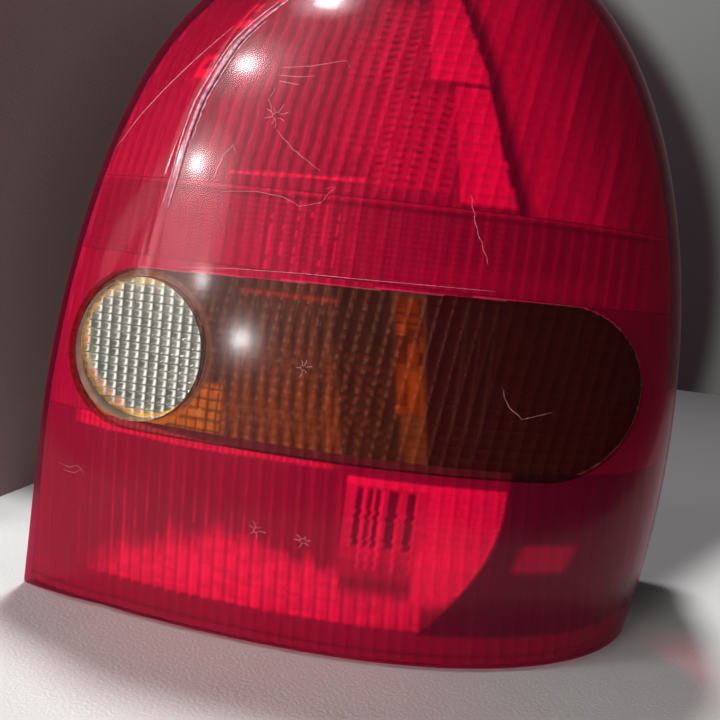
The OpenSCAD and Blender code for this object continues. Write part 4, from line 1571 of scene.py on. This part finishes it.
@dataclass
class LensOptics:
    """The optic sheets right behind the mouldings.

    Attributes:
        depth: How far behind the face the sheets lie, in millimetres.
        window_depth: The same for the amber inner lens.
        round_hole: Radius of the hole in the amber inner lens for the round lens.
        sheets: The sheets that were made, by name.
    """

    depth: float = 2.9
    window_depth: float = 3.6
    round_hole: float = 24.3
    sheets: dict[str, bpy.types.Object] = field(default_factory=dict)

    def build(self) -> None:
        """Builds every sheet."""
        upper, band, lower, amber, sides = UpperOptics(), BandOptics(), LowerOptics(), AmberOptics(), SideOptics()
        plan = (
            OpticSheet("optics_upper", (-108, 106, 147.4, 232), (0.6, 0.8), self.depth, upper.tone, upper.relief),
            OpticSheet("optics_band", (-108, 108, 121.2, 147.2), (0.6, 0.65), self.depth, band.tone, band.relief),
            OpticSheet("optics_lower", (-108, 108, 0.8, 66), (0.5, 0.6), self.depth, lower.tone, lower.relief),
            OpticSheet("optics_sides", (-108, 108, 66.2, 121.0), (0.8, 0.9), self.depth, sides.tone, sides.relief),
            OpticSheet("amber_inner_lens", (-98, 97, 62.5, 121.0), (0.5, 0.6), self.window_depth, amber.tone,
                       amber.relief, inset=3.4, violet=0.0, edge=3.4),
        )
        for sheet in plan:
            self.sheets[sheet.name] = sheet.build()
        cut(self.sheets["optics_sides"], outline_prism(Lit.WINDOW), "DIFFERENCE")
        cut(self.sheets["amber_inner_lens"], outline_prism(Lit.WINDOW), "INTERSECT")
        cut(self.sheets["amber_inner_lens"], outline_prism(Lit.REVERSING, self.round_hole), "DIFFERENCE")


# --------------------------------------------------------------------------- marks on the face
@dataclass(frozen=True)
class Star:
    """A star crack: its place in the front view, its size in millimetres, its arms and its turn in radians."""

    name: str
    x: float
    z: float
    size: float
    arms: int
    turn: float


@dataclass(frozen=True)
class Scratches:
    """Fine scratches and star cracks, and a painted highlight along the crease, as thin raised lines on the face.

    Attributes:
        thickness: Radius of a plain scratch, in millimetres.
        flank_thickness: Radius of the line down the flank.
        edge_thickness: Radius of the line along the window's top edge.
        spacing: Distance between the corners of a line.
        sunk: How far the middle of a line stands before the face.
        crease: Line of the crease in the front view.
        flank: Line down the flank.
        window_edge: Line along the window's top edge.
        stars: The star cracks.
        lines: The other scratches, by name.
    """

    thickness: float = 0.05
    flank_thickness: float = 0.10
    edge_thickness: float = 0.055
    spacing: float = 1.2
    sunk: float = 0.02
    crease: Path = ((-37.0, 211.5), (-45.4, 202.5), (-51.4, 194.9), (-56.0, 184.1), (-60.2, 173.5), (-62.4, 160.8),
                    (-63.6, 148.4), (-65.3, 137.5))
    flank: Path = ((-54.0, 200.5), (-66.6, 188.4), (-77.0, 177.8), (-85.9, 167.8), (-92.6, 157.2))
    window_edge: Path = ((-56.0, 118.6), (-38.9, 120.3), (-15.5, 121.4), (3.7, 121.8), (25.3, 122.4), (45.0, 122.8))
    stars: Sequence[Star] = (
        Star("star_upper", -31.8, 170.5, 4.6, 8, 0.3),
        Star("star_middle", -10.4, 92.2, 3.4, 6, 0.1),
        Star("star_low_left", -19.2, 38.4, 3.6, 6, 0.8),
        Star("star_low_right", -3.7, 37.5, 3.2, 6, 0.2),
    )
    lines: Sequence[tuple[str, Path]] = (
        ("long_upper", ((-31.0, 166.0), (-24.0, 160.0), (-14.5, 154.2))),
        ("over_star", ((-34.0, 180.0), (-35.2, 175.5), (-33.4, 171.5))),
        ("hook_a", ((-49.5, 148.5), (-47.5, 156.0), (-44.5, 160.0), (-43.2, 156.5))),
        ("band_wave", ((-46.0, 144.5), (-34.0, 145.6), (-24.5, 144.6), (-19.0, 142.3), (-12.5, 144.0), (-8.5, 149.5),
                       (-11.5, 148.6))),
        ("right_long", ((33.5, 151.5), (36.5, 142.0), (42.0, 130.5))),
        ("dashes_a", ((-33.0, 186.5), (-23.0, 187.8), (-12.0, 190.5), (-10.5, 188.0))),
        ("dashes_b", ((-34.0, 184.0), (-27.0, 183.8), (-21.0, 184.6))),
        ("dashes_c", ((-33.0, 182.0), (-26.0, 181.2))),
        ("left_low", ((-95.0, 47.0), (-90.0, 46.2), (-86.5, 47.5), (-83.0, 45.0))),
        ("left_low_b", ((-93.0, 45.0), (-88.0, 44.6), (-84.5, 46.6))),
        ("window_right", ((51.0, 93.5), (53.5, 88.0), (58.5, 84.0), (67.5, 87.0))),
    )

    def stroke(self, name: str, points: Path, thickness: float, wander: float = 0.25) -> bpy.types.Object:
        """Lays one scratch on the face.

        Args:
            name: Name of the scratch.
            points: Places in the front view, in millimetres.
            thickness: Radius in millimetres.
            wander: How far it strays from its line; one that strays little is also smoothed.

        Returns:
            The scratch as a mesh.
        """
        dense: list[tuple[float, float]] = []
        for (xa, za), (xb, zb) in zip(points, points[1:]):
            parts = max(2, int(math.hypot(xb - xa, zb - za) / self.spacing))
            dense += [(xa + (xb - xa) * k / parts, za + (zb - za) * k / parts) for k in range(parts)]
        dense.append(points[-1])
        xs, zs = np.array([p[0] for p in dense]), np.array([p[1] for p in dense])
        for _ in range(8 if wander < 0.2 else 0):
            xs[1:-1], zs[1:-1] = (xs[:-2] + 2 * xs[1:-1] + xs[2:]) / 4, (zs[:-2] + 2 * zs[1:-1] + zs[2:]) / 4
        wobble = wander * np.sin(np.arange(len(xs)) * 1.7)
        ys = FORM.front(xs + wobble, zs) - self.sunk
        deselect()
        bpy.ops.curve.primitive_nurbs_path_add()
        curve = bpy.context.object
        curve.name = name
        curve.data.splines.clear()
        spline = curve.data.splines.new("POLY")
        spline.points.add(len(xs) - 1)
        for k, point in enumerate(spline.points):
            point.co = ((xs[k] + wobble[k]) * MM, ys[k] * MM, zs[k] * MM, 1)
            point.radius = 0.35 + 0.65 * math.sin(math.pi * (k + 0.5) / len(xs))
        curve.data.bevel_depth = thickness * MM
        curve.data.bevel_resolution = 0
        curve.location = (0, 0, 0)
        activate(curve)
        bpy.ops.object.convert(target="MESH")
        return bpy.context.object

    def star(self, star: Star) -> list[bpy.types.Object]:
        """Lays one star crack on the face.

        Args:
            star: The star crack.

        Returns:
            Its arms and the nick at its heart.
        """
        def at(reach: float, angle: float) -> tuple[float, float]:
            """Returns the place at a reach and angle from the heart."""
            return star.x + reach * math.cos(angle), star.z + reach * math.sin(angle)

        made = []
        near = 0.30 * star.size
        for k in range(star.arms):
            bend = 0.5 * (float(hashed(np.array([star.x + k]))[0]) - 0.5)
            angle = star.turn + 2 * math.pi * k / star.arms + bend
            reach = star.size * (0.55 + 0.45 * float(hashed(np.array([star.z + 3 * k]))[0]))
            made.append(self.stroke(f"{star.name}_arm{k}", (at(near, angle), at(reach, angle)), self.thickness))
        nick = [at(near * 0.9, star.turn + 0.9 * k) for k in range(7)]
        made.append(self.stroke(f"{star.name}_nick", nick, self.thickness))
        return made

    def build(self) -> bpy.types.Object:
        """Lays all scratches and star cracks.

        Returns:
            All of them as one piece.
        """
        made = [part for star in self.stars for part in self.star(star)]
        made += [self.stroke(f"scratch_{name}", points, self.thickness) for name, points in self.lines]
        made.append(self.stroke("flank_line", self.flank, self.flank_thickness, 0.0))
        made.append(self.stroke("window_edge", self.window_edge, self.edge_thickness, 0.0))
        piece = join(made[0], *made[1:])
        piece.name = piece.data.name = "face_scratches"
        return piece

    def crease_highlight(self) -> bpy.types.Object:
        """Lays the pale band along the crease, a painted highlight, with the dark line left in its middle.

        Returns:
            The band as one piece.
        """
        beads = [self.stroke(name, [(x + shift, z) for x, z in points], thickness, wander)
                 for name, points, shift, thickness, wander in (
                     ("crease_right", self.crease, 1.3, 0.75, 0.05),
                     ("crease_left", self.crease, -1.1, 0.40, 0.05),
                     ("crease_outer", self.crease[1:6], 2.9, 0.34, 0.12))]
        piece = join(beads[0], *beads[1:])
        piece.name = piece.data.name = "crease_highlight"
        return piece


# --------------------------------------------------------------------------- whole lamp
@dataclass
class Lamp:
    """The dressed lamp: new lens pieces, and finishes on every solid that stays."""

    lens: Lens = field(default_factory=Lens)
    optics: LensOptics = field(default_factory=LensOptics)
    marks: Scratches = field(default_factory=Scratches)

    def build(self) -> list[bpy.types.Object]:
        """Builds and dresses everything.

        Returns:
            The new pieces.
        """
        self.lens.build()
        self.optics.build()
        self.dress_lens()
        self.dress_solids()
        return [*self.lens.made.values(), *self.optics.sheets.values(), *self.add_marks()]

    def dress_lens(self) -> None:
        """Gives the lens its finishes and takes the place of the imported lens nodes."""
        red = ClearPlastic("red_clear_plastic", linear(150, 0, 62), (0.97, 0.13, 0.34), 0.11).build()
        smoke = ClearPlastic("smoked_clear_plastic", linear(34, 6, 10), (0.70, 0.42, 0.34), 0.12).build()
        clear = ClearPlastic("clear_plastic", linear(150, 150, 140), (0.98, 0.98, 0.96), 0.07).build()
        ribs = Optics("red_ribs", 0.35).build()
        amber = Optics("amber_ribs", 0.3).build()
        prisms = Optics("clear_prisms", 0.18, 0.15).build()
        body, window, disc = (self.lens.made[k] for k in ("red", "window", "round"))
        bare = InnerFace().build()
        dress(body, red, bare)
        dress(window, smoke, bare)
        dress(disc, clear, prisms)
        for name in ("optics_upper", "optics_band", "optics_lower", "optics_sides"):
            sheet = self.optics.sheets[name]
            dress(sheet, ribs)
        sheet = self.optics.sheets["amber_inner_lens"]
        dress(sheet, amber)
        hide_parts("amber_filter")
        for piece, node, slot in ((body, "red_lens", "red_acrylic"), (window, "smoked_window", "smoked_acrylic"),
                                  (disc, "reversing_lens", "clear_acrylic")):
            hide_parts(node)
        for piece in (*self.lens.made.values(), *self.optics.sheets.values()):
            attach(piece, "root")

    def dress_solids(self) -> None:
        """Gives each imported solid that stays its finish."""
        silver = Solid("silvered_plastic", (0.62, 0.62, 0.63), (0.86, 0.86, 0.87),
                       rough=0.14, metal=1.0, grain=500, relief=0.0001).build()
        white = Solid("white_moulding", (0.62, 0.61, 0.57), (0.74, 0.73, 0.69),
                      rough=0.45, grain=1400, relief=0.0001).build()
        dark = Solid("dark_moulding", (0.018, 0.018, 0.02), (0.04, 0.04, 0.043),
                     rough=0.5, grain=2200, relief=0.0003).build()
        foam = Solid("closed_foam", (0.01, 0.01, 0.01), (0.035, 0.035, 0.036),
                     rough=0.9, grain=1800, relief=0.0008).build()
        bead = Solid("black_sealant", (0.008, 0.008, 0.008), (0.02, 0.02, 0.02),
                     rough=0.35, grain=300, relief=0.0004).build()
        brass = Solid("satin_brass", (0.55, 0.38, 0.13), (0.75, 0.56, 0.24),
                      rough=0.28, metal=1.0, grain=900, relief=0.0001, stretch=(1, 1, 6)).build()
        zinc = Solid("zinc_plate", (0.5, 0.51, 0.52), (0.74, 0.74, 0.72),
                     rough=0.3, metal=1.0, grain=1200, relief=0.0001, stretch=(8, 8, 1)).build()
        wire = Solid("drawn_wire", (0.25, 0.25, 0.26), (0.42, 0.42, 0.44),
                     rough=0.35, metal=1.0, grain=3000, relief=0.0001).build()
        glass = BulbGlass().build()
        plan = {
            "reflex_backing": white, "rim_sealant": bead, "housing": dark, "bulb_carrier": white,
            "carrier_seal": foam, "body_seal": foam, "mounting_studs": zinc, "amber_filter": white,
            "red_lens": white, "smoked_window": white, "reversing_lens": white,
        }
        for name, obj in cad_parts.items():
            if name in plan:
                finish = plan[name]
            elif name.endswith("_reflector"):
                finish = silver
            elif name.endswith("_glass"):
                finish = glass
            elif name.endswith("_filament"):
                finish = wire
            else:
                finish = brass
            dress(obj, finish)
            LOG.info("%s is dressed in %s", name, finish.name)

    def add_marks(self) -> list[bpy.types.Object]:
        """Adds the scratches, and the painted highlight along the crease, to the face.

        Returns:
            The two pieces.
        """
        # the second piece is the painted highlight along the crease
        pieces = [self.marks.build(), self.marks.crease_highlight()]
        pale = Solid("scratched_edge", (0.40, 0.14, 0.20), (0.78, 0.50, 0.55),
                     rough=0.5, grain=2500, relief=0.0001).build()
        # pale paint of the crease beads: a painted highlight along the crease
        crease_sheen = Solid("crease_highlight_paint", (0.30, 0.09, 0.14), (0.60, 0.36, 0.42),
                     rough=0.45, grain=700, relief=0.0001).build()
        for piece, finish in zip(pieces, (pale, crease_sheen)):
            dress(piece, finish)
            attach(piece, "root")
        return pieces


@dataclass(frozen=True)
class Camera:
    """The photograph's viewpoint: place in millimetres, turns in degrees, focal length in pixels."""

    place: tuple[float, float, float] = (64.29, -282.81, 128.86)
    yaw: float = -12.47
    pitch: float = -6.87
    roll: float = 6.59
    focal: float = 855.42

    def build(self) -> bpy.types.Object:
        """Adds the camera and makes it the scene's.

        Returns:
            The camera.
        """
        yaw, pitch, roll = (math.radians(a) for a in (self.yaw, self.pitch, self.roll))
        look = Vector((math.sin(yaw) * math.cos(pitch), math.cos(yaw) * math.cos(pitch), math.sin(pitch)))
        right = Vector((math.cos(yaw), -math.sin(yaw), 0))
        up = right.cross(look)
        side = math.cos(roll) * right + math.sin(roll) * up
        top = -math.sin(roll) * right + math.cos(roll) * up
        data = bpy.data.cameras.new("camera")
        data.sensor_width = SENSOR_WIDTH
        data.lens = self.focal / FRAME_PIXELS * SENSOR_WIDTH
        data.clip_start = 0.01
        obj = bpy.data.objects.new("camera", data)
        bpy.context.collection.objects.link(obj)
        obj.matrix_world = Matrix((side, top, -look)).transposed().to_4x4()
        obj.location = Vector(self.place) * MM
        bpy.context.scene.camera = obj
        return obj


@dataclass(frozen=True)
class Light:
    """A soft lamp that faces a point. Places and sizes are in metres.

    Attributes:
        name: Name of the lamp.
        place: Where it hangs.
        target: The point it faces.
        size: Width and height.
        power: Power in watts.
        seen: Whether it is one that polished faces mirror, and that lights nothing else.
        colour: Colour of its light.
    """

    name: str
    place: tuple[float, float, float]
    target: tuple[float, float, float]
    size: tuple[float, float]
    power: float
    seen: bool = False
    colour: Colour = (1.0, 1.0, 1.0)

    def build(self) -> None:
        """Adds the lamp."""
        data = bpy.data.lights.new(self.name, "AREA")
        data.shape = "ELLIPSE" if self.seen or self.size[0] == self.size[1] else "RECTANGLE"
        data.size, data.size_y = self.size
        data.energy = self.power
        data.color = self.colour
        obj = bpy.data.objects.new(self.name, data)
        bpy.context.collection.objects.link(obj)
        obj.location = self.place
        obj.rotation_euler = (Vector(self.target) - Vector(self.place)).to_track_quat("-Z", "Y").to_euler()
        obj.visible_glossy = self.seen
        obj.visible_diffuse = not self.seen


@dataclass(frozen=True)
class Spot:
    """A bright spot mirrored in the face, made of round lamps of growing size at one place.

    Attributes:
        name: Name of the spot.
        place: Where the lamps hang.
        target: The point they face.
        rings: Name, width and power of each lamp.
    """

    name: str
    place: tuple[float, float, float]
    target: tuple[float, float, float]
    rings: Sequence[tuple[str, float, float]]

    def build(self) -> None:
        """Adds the lamps of the spot."""
        for ring, size, power in self.rings:
            Light(f"{ring}_{self.name}", self.place, self.target, (size, size), power, seen=True).build()


@dataclass(frozen=True)
class StagePaint:
    """Paint of a stage surface: cloudy, one-sided, darker away from the lamp where the camera doesn't look at it, and
    with a painted shadow where one is given.

    Attributes:
        name: Name of the paint.
        near: Colour close to the lamp.
        far: Colour that mirrors and bounced light see further off.
        reach: Distance at which the change starts, in metres.
        edges: Two directions in which the distance is measured.
        shade: Edges of a painted shadow, each a direction, its start and its blur.
        painted_shadow_colour: Colour of that painted shadow.
    """

    name: str
    near: Colour
    far: Colour
    reach: float
    edges: tuple[Vector, Vector] = (Vector((0.825, -0.566, 0)), Vector((-0.2, -1.0, 0)))
    shade: tuple[tuple[Vector, float, float], ...] = ()
    painted_shadow_colour: Colour = (0.20, 0.19, 0.195)

    def build(self) -> bpy.types.Material:
        """Builds the paint.

        Returns:
            The material.
        """
        s = Shader(self.name)
        face = s.node("ShaderNodeBsdfPrincipled", Roughness=0.6)
        cloud = s.ramp(s.noise(16.0, 4.0), [(0.3, tuple(0.94 * c for c in self.near)), (0.7, self.near)])
        place = s.node("ShaderNodeTexCoord").outputs["Object"]
        away = s.node("ShaderNodeMath", operation="MAXIMUM")
        for socket, slope in zip(away.inputs, self.edges):
            s.link(self.along(s, place, slope), socket)
        beyond = s.spread(away.outputs[0], "SMOOTHSTEP", From_Min=self.reach, From_Max=self.reach * 1.15)
        unseen = s.node("ShaderNodeMath", operation="SUBTRACT")
        unseen.inputs[0].default_value = 1.0
        s.link(s.node("ShaderNodeLightPath").outputs["Is Camera Ray"], unseen.inputs[1])
        share = s.product(unseen.outputs[0], beyond)
        s.link(s.blended(self.with_painted_shadow(s, cloud, place), self.far, share), face.inputs["Base Color"])
        s.link(s.bump(s.noise(900.0, 4.0), 0.3, 0.0005), face.inputs["Normal"])
        back = s.node("ShaderNodeNewGeometry").outputs["Backfacing"]
        return s.split(face, s.node("ShaderNodeBsdfTransparent"), back)

    def with_painted_shadow(self, s: Shader, colour: bpy.types.NodeSocket, place: bpy.types.NodeSocket) -> bpy.types.NodeSocket:
        """Lays the painted shadow over a colour.

        Args:
            s: The material under construction.
            colour: The lit colour.
            place: Places on the surface.

        Returns:
            The colour of the surface.
        """
        inside = [s.spread(self.along(s, place, slope), "SMOOTHSTEP", From_Min=start, From_Max=start + blur)
                  for slope, start, blur in self.shade]
        if not inside:
            return colour
        share = inside[0]
        for other in inside[1:]:
            share = s.product(share, other)
        return s.blended(colour, self.painted_shadow_colour, share)

    @staticmethod
    def along(s: Shader, place: bpy.types.NodeSocket, slope: Vector) -> bpy.types.NodeSocket:
        """Measures how far places lie in a direction.

        Args:
            s: The material under construction.
            place: Places on the surface.
            slope: The direction.

        Returns:
            The socket of the distance in metres.
        """
        side = s.node("ShaderNodeVectorMath", operation="DOT_PRODUCT")
        side.inputs[1].default_value = slope
        s.link(place, side.inputs[0])
        return side.outputs["Value"]


@dataclass(frozen=True)
class WallPaint:
    """Paint of the far wall: a round painted shadow over most of it, and pale beyond its edge high on the outer side.
    """

    name: str = "far_wall"
    centre: tuple[float, float, float] = (-0.28, 0.93, 0.08)
    reach: float = 0.555
    blur: float = 0.02
    # dark is the colour of the painted shadow on the wall; pale is the lit wall beyond it
    dark: Colour = (0.018, 0.006, 0.010)
    pale: Colour = (0.165, 0.165, 0.158)

    def build(self) -> bpy.types.Material:
        """Builds the finish.

        Returns:
            The material.
        """
        s = Shader(self.name)
        face = s.node("ShaderNodeBsdfPrincipled", Roughness=0.8)
        place = s.node("ShaderNodeTexCoord")
        away = s.node("ShaderNodeVectorMath", operation="DISTANCE")
        away.inputs[1].default_value = self.centre
        s.link(place.outputs["Object"], away.inputs[0])
        edge = s.spread(away.outputs["Value"], "SMOOTHSTEP", From_Min=self.reach - self.blur,
                        From_Max=self.reach + self.blur)
        # painted shadow inside the round edge, pale wall beyond it
        s.link(s.blended(self.dark, self.pale, edge), face.inputs["Base Color"])
        s.link(s.bump(s.noise(200.0, 3.0), 0.2, 0.001), face.inputs["Normal"])
        return s.closed(face)


@dataclass
class Studio:
    """Floor, side board, backdrop, lamps and world."""

    world_colour: Colour = (0.5, 0.48, 0.48)
    world_strength: float = 0.15

    def wall(self, name: str, corners: Sequence[tuple[float, float, float]], paint: StagePaint | WallPaint) -> None:
        """Adds one flat stage surface.

        Args:
            name: Name of the surface.
            corners: Its four corners in metres.
            paint: Its paint.
        """
        deselect()
        bpy.ops.mesh.primitive_plane_add(size=2.0)
        obj = bpy.context.object
        obj.name = obj.data.name = name
        for vert, corner in zip(obj.data.vertices, corners):
            vert.co = corner
        dress(obj, paint.build())

    def build(self) -> None:
        """Adds everything around the lamp."""
        # the floor's shade field is a painted shadow of the lamp, beside and behind it
        self.wall("floor", ((-2, -2, 0), (2, -2, 0), (-2, 0.93, 0), (2, 0.93, 0)),
                  StagePaint("pale_floor", (0.80, 0.80, 0.79), (0.03, 0.03, 0.03), 0.205,
                             shade=((Vector((-0.908, 0.4185, 0)), -0.092, 0.03), (Vector((0, 1, 0)), 0.045, 0.04))))
        self.wall("side_board", ((-0.173, -0.01, 0), (-0.176, 0.93, 0), (-0.173, -0.01, 0.30), (-0.176, 0.93, 0.30)),
                  StagePaint("side_board", (0.25, 0.155, 0.15), (0.05, 0.04, 0.04), 0.3))
        self.wall("backdrop", ((-2, 0.93, 0), (2, 0.93, 0), (-2, 0.93, 2), (2, 0.93, 2)), WallPaint())
        for lamp in self.lamps():
            lamp.build()
        self.fill_world()
        bpy.context.scene.view_settings.view_transform = "Standard"

    def lamps(self) -> Sequence[Light | Spot]:
        """Lists the lamps.

        Returns:
            Those that light the lamp, then those that only its polished faces mirror.
        """
        lens = (-0.01, 0.0, 0.12)
        haze = (-0.05, -0.02, 0.14)
        high = (-0.66, -0.86, 0.78)
        return (
            Light("front_key", (-0.60, -1.20, 0.10), lens, (0.6, 0.16), 24.5),
            Light("front_fill", (0.80, -1.10, 0.12), lens, (0.6, 0.2), 4.5),
            Light("overhead_a", (-0.12, 0.33, 1.15), lens, (0.14, 0.14), 11.5),
            Light("overhead_b", (-0.48, -0.42, 1.05), lens, (0.2, 0.2), 2.0),
            Light("haze_wide", high, haze, (0.42, 1.35), 3.0, seen=True),
            Light("haze_middle", high, haze, (0.28, 1.25), 2.2, seen=True),
            Light("haze_narrow", high, haze, (0.14, 1.10), 1.0, seen=True),
            Light("haze_low", (-0.63, -0.91, 0.42), haze, (0.26, 0.50), 2.2, seen=True),
            Light("crease_band", (-0.97, -0.49, 0.75), haze, (0.40, 1.00), 2.5, seen=True),
            Spot("upper", (-0.567, -0.709, 1.010), (-0.045, -0.009, 0.187),
                 (("spot", 0.07, 3.6), ("halo", 0.17, 1.6), ("glow", 0.32, 1.5))),
            Spot("middle", (-0.695, -0.907, 0.644), (-0.056, -0.018, 0.153),
                 (("spot", 0.06, 2.4), ("halo", 0.15, 1.2), ("glow", 0.30, 1.2))),
            Spot("top", (-0.351, -0.435, 1.279), (-0.022, -0.001, 0.210), (("spot", 0.08, 3.0), ("halo", 0.22, 1.6))),
            Spot("low", (-0.617, -1.063, 0.308), (-0.048, -0.024, 0.116), (("spot", 0.035, 0.8),)),
            Spot("star", (-0.458, -1.145, 0.168), (-0.032, -0.026, 0.098), (("spot", 0.03, 1.1), ("halo", 0.12, 0.40))),
        )

    def fill_world(self) -> None:
        """Gives the world its faint even light."""
        world = bpy.data.worlds.new("world")
        bpy.context.scene.world = world
        world.use_nodes = True
        back = world.node_tree.nodes["Background"]
        back.inputs["Color"].default_value = (*self.world_colour, 1)
        back.inputs["Strength"].default_value = self.world_strength


def main() -> None:
    """Builds the lamp, its stage and the camera, and reports each piece."""
    logging.basicConfig(level=logging.INFO, format="%(name)s: %(message)s")
    for piece in Lamp().build():
        LOG.info("%s: %d faces", piece.name, len(piece.data.polygons))
    Studio().build()
    Camera().build()


if __name__ == "__main__":
    main()
